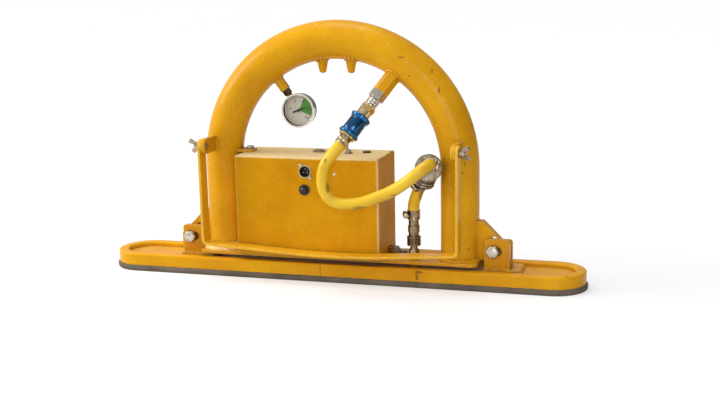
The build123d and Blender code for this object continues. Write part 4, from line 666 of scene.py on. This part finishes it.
green_inner, green_outer, green_start, green_turn = 0.0030, 0.0258, radians(-25), radians(92)
sector = bmesh.new()
wedge = [(green_inner, 0, 0), (green_outer, 0, 0), (green_outer, 0, ink_thick), (green_inner, 0, ink_thick)]
corners = [sector.verts.new(Matrix.Rotation(green_start, 3, "Z") @ Vector(corner)) for corner in wedge]
outline = [sector.edges.new(pair) for pair in zip(corners, corners[1:] + corners[:1])]
bmesh.ops.spin(sector, geom=outline, cent=(0, 0, 0), axis=(0, 0, 1), angle=green_turn, steps=30)
bmesh.ops.holes_fill(sector, edges=sector.edges, sides=4)
bmesh.ops.recalc_face_normals(sector, faces=sector.faces)
on_dial(sector)
add_piece("dial_green_part", sector, dial_green)
dial_zero, dial_sweep, small_marks, marks_outer = 225, 270, 50, 0.0268
marks = bmesh.new()
for number in range(small_marks + 1):
    long_mark = number % 10 == 0
    inner, width = (0.0226, 0.0007) if long_mark else (0.0240, 0.0004)
    turn = radians(dial_zero - number * dial_sweep / small_marks)
    made = bmesh.ops.create_cube(marks, size=1.0)["verts"]
    bmesh.ops.scale(marks, verts=made, vec=(marks_outer - inner, width, 3 * ink_thick))
    bmesh.ops.translate(marks, verts=made, vec=((marks_outer + inner) / 2, 0, 0))
    bmesh.ops.rotate(marks, verts=made, cent=(0, 0, 0), matrix=Matrix.Rotation(turn, 3, "Z"))
on_dial(marks)
add_piece("dial_marks", marks, dial_ink)
numeral_words, numeral_size, numeral_circle = ("0", "20", "40", "60", "80", "100"), 0.0052, 0.0188
numerals = bmesh.new()
for number, word in enumerate(numeral_words):
    text = bpy.data.curves.new("numeral", "FONT")
    text.body = word
    text.size = numeral_size
    text.extrude = ink_thick
    text.align_x = "CENTER"
    text.align_y = "CENTER"
    written = as_mesh(text)
    turn = radians(dial_zero - number * dial_sweep / (len(numeral_words) - 1))
    across, up = numeral_circle * cos(turn), numeral_circle * sin(turn)
    written.transform(Matrix.Translation((across, up, ink_thick / 2)))
    numerals.from_mesh(written)
    bpy.data.meshes.remove(written)
close_up(numerals, ink_merge)
on_dial(numerals)
add_piece("dial_numerals", numerals, dial_ink)


# Valve train: a steel and a brass fitting in the boss, then a slide valve
# whose blue anodised sleeve is pushed along the body to let the stone go.
fitting_steel = worked_metal("fitting_steel", (0.66, 0.62, 0.54, 1), (0.24, 0.18, 0.11, 1), rough=0.18)
coat(fitting_steel, "steel_fitting")
fitting_brass = worked_metal("fitting_brass", (0.80, 0.58, 0.24, 1), (0.42, 0.26, 0.08, 1), rough=0.18)
coat(fitting_brass, "brass_fitting")
valve_metal = worked_metal("valve_metal", (0.74, 0.58, 0.32, 1), (0.40, 0.27, 0.11, 1), rough=0.18)
coat(valve_metal, "valve_body")
valve_stand = stand(valve_root, valve_in, (sin(valve_turn), 0, -cos(valve_turn)))
ring_section = [(0.0108, 0.0), (0.0117, 0.0005), (0.0121, 0.0016), (0.0121, 0.0028), (0.0117, 0.0039),
                (0.0108, 0.0044)]
for number, start in enumerate((0.0945, 0.1000, 0.1055)):
    bead = lathe([(out, start + along) for out, along in ring_section], 48)
    set_on(bead, valve_stand)
    add_piece(f"fitting_ring_{number + 1}", bead, fitting_steel)
sleeve_start, sleeve_end, sleeve_bore = 0.1335, 0.1775, 0.01356
rib_count, rib_out, rib_depth, rib_room, rib_near = 36, 0.0170, 0.014, 0.0100, 0.00005
sleeve_blue, sleeve_navy, collar_highlight_azure = (0.0, 0.074, 0.200, 1), (0.0, 0.045, 0.125, 1), (0.0, 0.16, 0.44, 1)
edge_highlight_azure, groove_shade_navy = (0.06, 0.42, 0.80, 1), (0.0, 0.012, 0.035, 1)


def blue_anodised():
    """Dyed aluminium under a clear gloss, with painted highlights on its collars and edges and painted shade
    in its grooves.
    """
    finish, tree, shader, place = new_finish("blue_anodised")
    handled = cloud(tree, place, scale=70.0, detail=5.0)
    tone = blend_colour(tree, between(tree, handled, 0.4, 0.7), sleeve_blue, sleeve_navy)
    # The collars are lightened to azure: a painted highlight.
    middle = valve_root.dot(valve_in) + (sleeve_start + sleeve_end) / 2
    from_middle = reckon(tree, "SUBTRACT", along_of(tree, place, tuple(valve_in)), middle)
    on_collar = between(tree, reckon(tree, "ABSOLUTE", from_middle), 0.0120, 0.0150, end=0.55)
    tone = blend_colour(tree, on_collar, tone, collar_highlight_azure)
    # The edges are lightened: a painted highlight.
    facing = eased_edges(tree, 0.0005, 4)[1]
    tone = blend_colour(tree, between(tree, facing, 0.97, 0.8, end=0.7), tone, edge_highlight_azure)
    # The grooves are darkened: painted shade.
    painted_corner_shade = between(tree, openness(tree, 0.002, 4), 0.3, 0.85, start=0.8, end=0.0)
    tone = blend_colour(tree, painted_corner_shade, tone, groove_shade_navy)
    dull = between(tree, handled, 0.3, 0.7, start=0.08, end=0.15)
    skin = rough_skin(tree, cloud(tree, place, scale=900.0, detail=2.0), 0.00003)
    feed(tree, shader, {"Base Color": tone, "Metallic": 0.85, "Roughness": dull, "Normal": skin})
    feed(tree, shader, {"Coat Weight": 0.45, "Coat Roughness": 0.05})
    return finish


collar = [(0.0178, 0.0), (0.0194, 0.0008), (0.0202, 0.0026), (0.0199, 0.0044), (0.0188, 0.0056),
          (0.0190, 0.0068), (0.0182, 0.0080), (0.0164, 0.0090)]
sleeve_section = [(sleeve_bore, sleeve_start)] + [(out, sleeve_start + along) for out, along in collar]
sleeve_section += [(rib_out, sleeve_start + rib_room), (rib_out, sleeve_end - rib_room)]
sleeve_section += [(out, sleeve_end - along) for out, along in reversed(collar)] + [(sleeve_bore, sleeve_end)]
sleeve = lathe(sleeve_section, rib_count * 4)
for point in sleeve.verts:
    if abs(hypot(point.co.x, point.co.y) - rib_out) < rib_near:
        groove = 1 - rib_depth * (0.5 + 0.5 * cos(atan2(point.co.y, point.co.x) * rib_count))
        bmesh.ops.scale(sleeve, verts=[point], vec=(groove, groove, 1))
set_on(sleeve, valve_stand)
slide_sleeve = add_piece("slide_sleeve", sleeve, blue_anodised(), "valve_sleeve_body",
                         sharp=50.0)
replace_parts(slide_sleeve, "valve_sleeve")


# Long hose: yellow reinforced suction hose, clamped on the valve, hanging in a
# loop before the box and rising to the filter. It is scuffed where it rubs.
mm, hose_radius = 0.001, 0.011
hose_yellow, hose_amber = (0.86, 0.57, 0.026, 1), (0.74, 0.44, 0.014, 1)
hose_rub, hose_scuff_and_shade = (0.22, 0.12, 0.02, 1), (0.18, 0.075, 0.012, 1)
hose_scuffs_and_shade = [
    ((0.079, -0.126, 0.161), (0.017, 0.010, 0.005)), ((0.0165, -0.121, 0.197), (0.004, 0.008, 0.011)),
    ((0.0136, -0.127, 0.2475), (0.003, 0.012, 0.005)), ((0.148, -0.127, 0.188), (0.013, 0.012, 0.002)),
    # The last mark is painted shade on the short hose's side that faces the leg.
    ((0.1715, -0.034, 0.166), (0.006, 0.014, 0.026)),
]


def hose_vinyl():
    """Soft yellow vinyl with a faint cast, rubs, brown scuffs and a painted shade on the short hose's side by
    the leg.
    """
    finish, tree, shader, place = new_finish("hose_vinyl")
    cast = cloud(tree, place, scale=18.0)
    colour = blend_colour(tree, between(tree, cast, 0.35, 0.7), hose_yellow, hose_amber)
    rubs = cloud(tree, place, scale=60.0, detail=7.0, rough=0.72)
    colour = blend_colour(tree, between(tree, rubs, 0.68, 0.74, end=0.6), colour, hose_rub)
    for centre, sizes in hose_scuffs_and_shade:
        scuff_and_shade = times(tree, worn_spot(tree, place, centre, sizes), 0.65)
        colour = blend_colour(tree, scuff_and_shade, colour, hose_scuff_and_shade)
    dull = between(tree, rubs, 0.3, 0.75, start=0.26, end=0.42)
    skin = rough_skin(tree, cloud(tree, place, scale=260.0), 0.0002)
    feed(tree, shader, {"Base Color": colour, "Specular IOR Level": 0.4, "Roughness": dull, "Normal": skin})
    return finish


hose_finish = hose_vinyl()


def lay_hose(name, route, node):
    """Hose along a route in millimetres, in place of a CAD node."""
    line = bpy.data.curves.new(name, "CURVE")
    line.dimensions = "3D"
    line.bevel_depth = hose_radius
    line.bevel_resolution = 8
    line.resolution_u = 12
    line.use_fill_caps = True
    run = line.splines.new("NURBS")
    run.points.add(len(route) - 1)
    for knot, point in zip(run.points, route):
        knot.co = (point[0] * mm, point[1] * mm, point[2] * mm, 1.0)
    run.order_u = 3
    run.use_endpoint_u = True
    line.materials.append(hose_finish)
    hose = bpy.data.objects.new(name, line)
    scene.collection.objects.link(hose)
    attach(hose, "lifter")
    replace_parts(hose, node)
    return hose


hose_route = [
    (40.68, -94.50, 281.00), (29.63, -106.00, 264.43), (12.98, -114.00, 244.00), (4.98, -116.00, 224.00),
    (3.98, -117.00, 203.00), (8.98, -117.00, 184.00), (23.98, -117.00, 168.50), (48.98, -117.00, 165.50),
    (78.03, -117.19, 169.55), (107.03, -117.19, 180.55), (137.03, -118.19, 193.25), (163.03, -119.09, 210.55),
    (185.03, -119.39, 228.55), (196.03, -109.39, 237.35), (200.67, -93.32, 240.25), (196.93, -77.09, 236.85),
]
suction_hose = lay_hose("suction_hose", hose_route, "long_hose")


# Worm clamps: a perforated steel band round the hose, a pressed housing and a
# hex screw in it. There is one on every hose end.
clamp_steel = worked_metal("clamp_steel", (0.62, 0.50, 0.31, 1), (0.22, 0.14, 0.06, 1), rough=0.20,
                           stains=0.6)
brown_clamp = worked_metal("brown_clamp", (0.40, 0.31, 0.19, 1), (0.09, 0.055, 0.025, 1), rough=0.26,
                           stains=0.9)
band_inner, band_outer, band_lip, lip_middle, lip_wide = 0.01108, 0.0122, 0.0003, 0.0006, 0.0013
slot_count, slot_start, slot_pitch, slot_out, slot_wide = 20, radians(-60), radians(15.5), 0.0003, 0.0009
house_inner, house_long, house_deep, house_high, house_round = 0.0111, 0.0140, 0.0070, 0.0090, 0.0026
screw_round, screw_long, screw_edge = 0.0041, 0.0050, 0.0005


def round_off(shape, points, offset, segments):
    """Bevels the edges of one part of a bmesh."""
    edges = list({edge for point in points for edge in point.link_edges})
    bmesh.ops.bevel(shape, geom=edges, offset=offset, segments=segments, profile=0.5, affect="EDGES",
                    material=-1)


def worm_clamp(name, frame_matrix, start, width, stout=1.0, finish=clamp_steel):
    """Clamp round Z from a start height, its housing at -Y and its screw head at +X."""
    end, middle, screw_out = start + width, start + width / 2, -house_inner - house_deep / 2 * stout
    shape = lathe([(band_inner, start), (band_outer, start), (band_outer + band_lip, start + lip_middle),
                   (band_outer, start + lip_wide), (band_outer, end - lip_wide),
                   (band_outer + band_lip, end - lip_middle), (band_outer, end), (band_inner, end)], 72)
    for number in range(slot_count):
        turn = Matrix.Rotation(slot_start + number * slot_pitch, 3, "Z")
        slot = bmesh.ops.create_cube(shape, size=1.0)["verts"]
        bmesh.ops.scale(shape, verts=slot, vec=(slot_out, slot_wide, width * 0.5))
        bmesh.ops.translate(shape, verts=slot, vec=(band_outer, 0, middle))
        bmesh.ops.rotate(shape, verts=slot, cent=(0, 0, 0), matrix=turn)
    house = bmesh.ops.create_cube(shape, size=1.0)["verts"]
    bmesh.ops.scale(shape, verts=house, vec=(house_long * stout, house_deep * stout, house_high * stout))
    bmesh.ops.translate(shape, verts=house, vec=(0, screw_out, middle))
    round_off(shape, house, house_round * stout, 5)
    screw = bmesh.ops.create_cone(shape, cap_ends=True, segments=6, radius1=screw_round * stout,
                                  radius2=screw_round * stout, depth=screw_long)["verts"]
    bmesh.ops.rotate(shape, verts=screw, cent=(0, 0, 0), matrix=Matrix.Rotation(radians(90), 3, "Y"))
    screw_middle = house_long / 2 * stout + screw_long / 2
    bmesh.ops.translate(shape, verts=screw, vec=(screw_middle, screw_out, middle))
    round_off(shape, screw, screw_edge, 2)
    bmesh.ops.recalc_face_normals(shape, faces=shape.faces)
    set_on(shape, frame_matrix)
    return add_piece(name, shape, finish)


coupler_stand = stand((0.152, -0.020, 0.0), (0, 0, 1), (0.35, -0.94, 0))
filter_root, filter_axis = Vector((0.1669, -0.0312, 0.1733)), Vector((0.361, -0.228, 0.903)).normalized()
inlet_axis = Vector((0.22, -0.955, 0.20)).normalized()
inlet_up, drum_up, outlet_off = 0.063, 0.057, 0.005
inlet_root, drum_root = filter_root + filter_axis * inlet_up, filter_root + filter_axis * drum_up
outlet_root = filter_root + filter_axis.cross(Vector((0, 1, 0))).normalized() * outlet_off
outlet_stand = stand(outlet_root, filter_axis, (0.8, -0.6, 0))
inlet_stand = stand(inlet_root, inlet_axis, (0.3, 0, 1))
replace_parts(worm_clamp("valve_clamp", valve_stand, start=0.190, width=0.010), "hose_clamps")
worm_clamp("coupler_clamp", coupler_stand, start=0.123, width=0.017, stout=1.35, finish=brown_clamp)
worm_clamp("filter_foot_clamp", outlet_stand, start=0.0105, width=0.009, finish=brown_clamp)
worm_clamp("filter_inlet_clamp", inlet_stand, start=0.0345, width=0.009, finish=brown_clamp)


# Filter: a grey drum with a bright screwed ring on its front, on a cone that
# ends in a ribbed foot. The long hose goes in at the front, the short one below.
drum_grey, drum_brown = (0.30, 0.25, 0.17, 1), (0.10, 0.075, 0.045, 1)
cone_brown, drum_grime_and_shade = (0.085, 0.060, 0.036, 1), (0.03, 0.022, 0.014, 1)
cone_top, drum_bottom = 0.036, 0.046


def filter_grey():
    """Weathered grey casting, streaked, darker on its cone, with dirt and painted shade in corners."""
    finish, tree, shader, place = new_finish("filter_grey")
    streaks = cloud(tree, stretch(tree, place, (150.0, 150.0, 40.0)), scale=1.0, detail=5.0, rough=0.65)
    colour = blend_colour(tree, between(tree, streaks, 0.35, 0.7), drum_grey, drum_brown)
    up_filter = along_of(tree, shift(tree, "SUBTRACT", place, tuple(filter_root)), tuple(filter_axis))
    on_cone = between(tree, up_filter, cone_top, drum_bottom, start=0.8, end=0.0)
    colour = blend_colour(tree, on_cone, colour, cone_brown)
    # Corners are darkened: dirt and painted shade.
    painted_corner_shade = between(tree, openness(tree, 0.010, 4), 0.3, 0.8, start=0.8, end=0.0)
    colour = blend_colour(tree, painted_corner_shade, colour, drum_grime_and_shade)
    dull = between(tree, streaks, 0.3, 0.7, start=0.28, end=0.45)
    skin = rough_skin(tree, streaks, 0.0003)
    feed(tree, shader, {"Base Color": colour, "Metallic": 0.35, "Roughness": dull, "Normal": skin})
    return finish


coat(filter_grey(), "inline_filter")
ring_metal = worked_metal("filter_ring", (0.46, 0.40, 0.30, 1), (0.18, 0.13, 0.075, 1), rough=0.24,
                          stains=0.8)
front_ring = lathe([(0.0215, 0.0262), (0.0246, 0.0256), (0.0256, 0.0240), (0.0256, 0.0205), (0.0249, 0.0200),
                    (0.0236, 0.0225), (0.0220, 0.0268)], 72)
set_on(front_ring, stand(drum_root, inlet_axis, to_right))
add_piece("filter_front_ring", front_ring, ring_metal)
rib_section = [(0.0185, 0.0), (0.0197, 0.0006), (0.0201, 0.0015), (0.0197, 0.0024), (0.0185, 0.0030)]
for number, start in enumerate((0.0245, 0.0300)):
    rib = lathe([(out, start + along) for out, along in rib_section], 64)
    set_on(rib, stand(filter_root, filter_axis, to_right))
    add_piece(f"filter_foot_rib_{number + 1}", rib, ring_metal)


# Short hose: a stub of the same hose, pushed over the filter's outlet and the
# coupler's tail. Its side that faces the leg carries a painted brown shade.
stub_route = [(152.0, -20.0, 122.0), (152.0, -20.0, 141.0), (152.0, -20.0, 153.0), (164.06, -32.34, 179.68),
              (169.85, -35.99, 194.14)]
lay_hose("short_suction_hose", stub_route, "short_hose")


# Quick coupler: a turned steel socket with a ridged sleeve that springs back,
# on a plug screwed into the pad's port. Dirt and painted shade darken it between its parts.
coupler_steel = worked_metal("coupler_steel", (0.40, 0.31, 0.19, 1), (0.10, 0.065, 0.030, 1), rough=0.24,
                             stains=0.9)
coat(coupler_steel, "coupler_body", "plug_nipple")
ridge_bore, ridge_out, ridge_root = 0.00996, 0.0135, 0.0122
ridge_count, ridge_start, ridge_pitch = 4, 0.0738, 0.0036
ridge = [(ridge_out, 0.0), (ridge_root, 0.0008), (ridge_root, 0.0020), (ridge_out, 0.0028)]
ridged = [(ridge_bore, 0.0722), (0.0126, 0.0720), (ridge_out, 0.0728)]
for number in range(ridge_count):
    base = ridge_start + number * ridge_pitch
    ridged += [(out, base + along) for out, along in ridge]
ridged += [(ridge_out, 0.0888), (0.0125, 0.0898), (ridge_bore, 0.0898)]
grip = lathe(ridged, 64)
set_on(grip, coupler_stand)
ridged_sleeve = add_piece("ridged_sleeve", grip, coupler_steel, "coupler_sleeve_body")
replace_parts(ridged_sleeve, "coupler_sleeve")


# Floor, light and camera: a pale floor, soft lamps at the left, above and at
# the front right, and the photograph's own viewing angle.
floor_grey, floor_pale, white = (0.54, 0.54, 0.54, 1), (0.56, 0.56, 0.56, 1), (1.0, 1.0, 1.0, 1)
floor_radius = 40.0


def pale_floor():
    """Matt floor that shows white to the eye, with painted shade near the pad, where its shadow lies."""
    finish, tree, shader, place = new_finish("pale_floor")
    tone = blend_colour(tree, cloud(tree, place, scale=1.5, detail=2.0), floor_grey, floor_pale)
    path = put(tree, "LightPath").outputs
    seen = most(tree, most(tree, path["Is Camera Ray"], path["Is Glossy Ray"]), path["Is Transmission Ray"])
    # The glow is weaker near the pad: a painted shade round it.
    glow_with_painted_shade = times(tree, seen, between(tree, length_of(tree, place), 0.6, 3.0, start=0.46, end=0.66))
    feed(tree, shader, {"Base Color": tone, "Roughness": 0.9, "Specular IOR Level": 0.1})
    feed(tree, shader, {"Emission Color": white, "Emission Strength": glow_with_painted_shade})
    return finish


ground = bmesh.new()
bmesh.ops.create_circle(ground, cap_ends=True, segments=64, radius=floor_radius)
ground_mesh = bpy.data.meshes.new("pale_floor")
ground.to_mesh(ground_mesh)
ground.free()
ground_mesh.materials.append(pale_floor())
floor = bpy.data.objects.new("pale_floor", ground_mesh)
scene.collection.objects.link(floor)
bright_side = (-0.79, -0.16, 0.58)
world = bpy.data.worlds.new("studio")
world.use_nodes = True
scene.world = world
sky = world.node_tree
facing_light = along_of(sky, put(sky, "TexCoord").outputs["Generated"], bright_side)
sky_strength = between(sky, facing_light, -0.6, 0.9, start=0.12, end=0.85)
feed(sky, sky.nodes["Background"], {"Color": white, "Strength": sky_strength})


def soft_lamp(name, place, aim, size, power, colour):
    """Round soft lamp at a place, turned to an aim."""
    lamp = bpy.data.lights.new(name, "AREA")
    lamp.shape = "DISK"
    lamp.size = size
    lamp.energy = power
    lamp.color = colour
    tripod = bpy.data.objects.new(name, lamp)
    tripod.location = place
    tripod.rotation_euler = (Vector(aim) - Vector(place)).to_track_quat("-Z", "Y").to_euler()
    scene.collection.objects.link(tripod)


daylight = (1.0, 0.98, 0.95)
soft_lamp("left_window", (-2.8, -0.7, 1.5), aim=(0, 0, 0.25), size=1.5, power=56.0, colour=daylight)
soft_lamp("top_softbox", (-0.3, 0.2, 2.6), aim=(0, 0, 0.2), size=1.2, power=19.0, colour=white[:3])
soft_lamp("front_fill", (1.0, -3.0, 0.9), aim=(0, 0, 0.25), size=1.6, power=30.0, colour=daylight)
camera_place, yaw, pitch, roll = (0.6775, -2.0773, 0.5898), radians(16.339), radians(12.479), radians(-0.973)
look = Vector((-sin(yaw) * cos(pitch), cos(yaw) * cos(pitch), -sin(pitch)))
level = Vector((cos(yaw), sin(yaw), 0.0))
upright = level.cross(look)
right, up = level * cos(roll) + upright * sin(roll), upright * cos(roll) - level * sin(roll)
lens = bpy.data.cameras.new("photo_camera")
lens.lens = 57.5
lens.sensor_width = 36.0
lens.shift_x = -0.0200
lens.shift_y = 0.0192
camera = bpy.data.objects.new("photo_camera", lens)
camera.matrix_world = Matrix.Translation(camera_place) @ Matrix((right, up, -look)).transposed().to_4x4()
scene.collection.objects.link(camera)
scene.camera = camera
scene.view_settings.view_transform = "Standard"
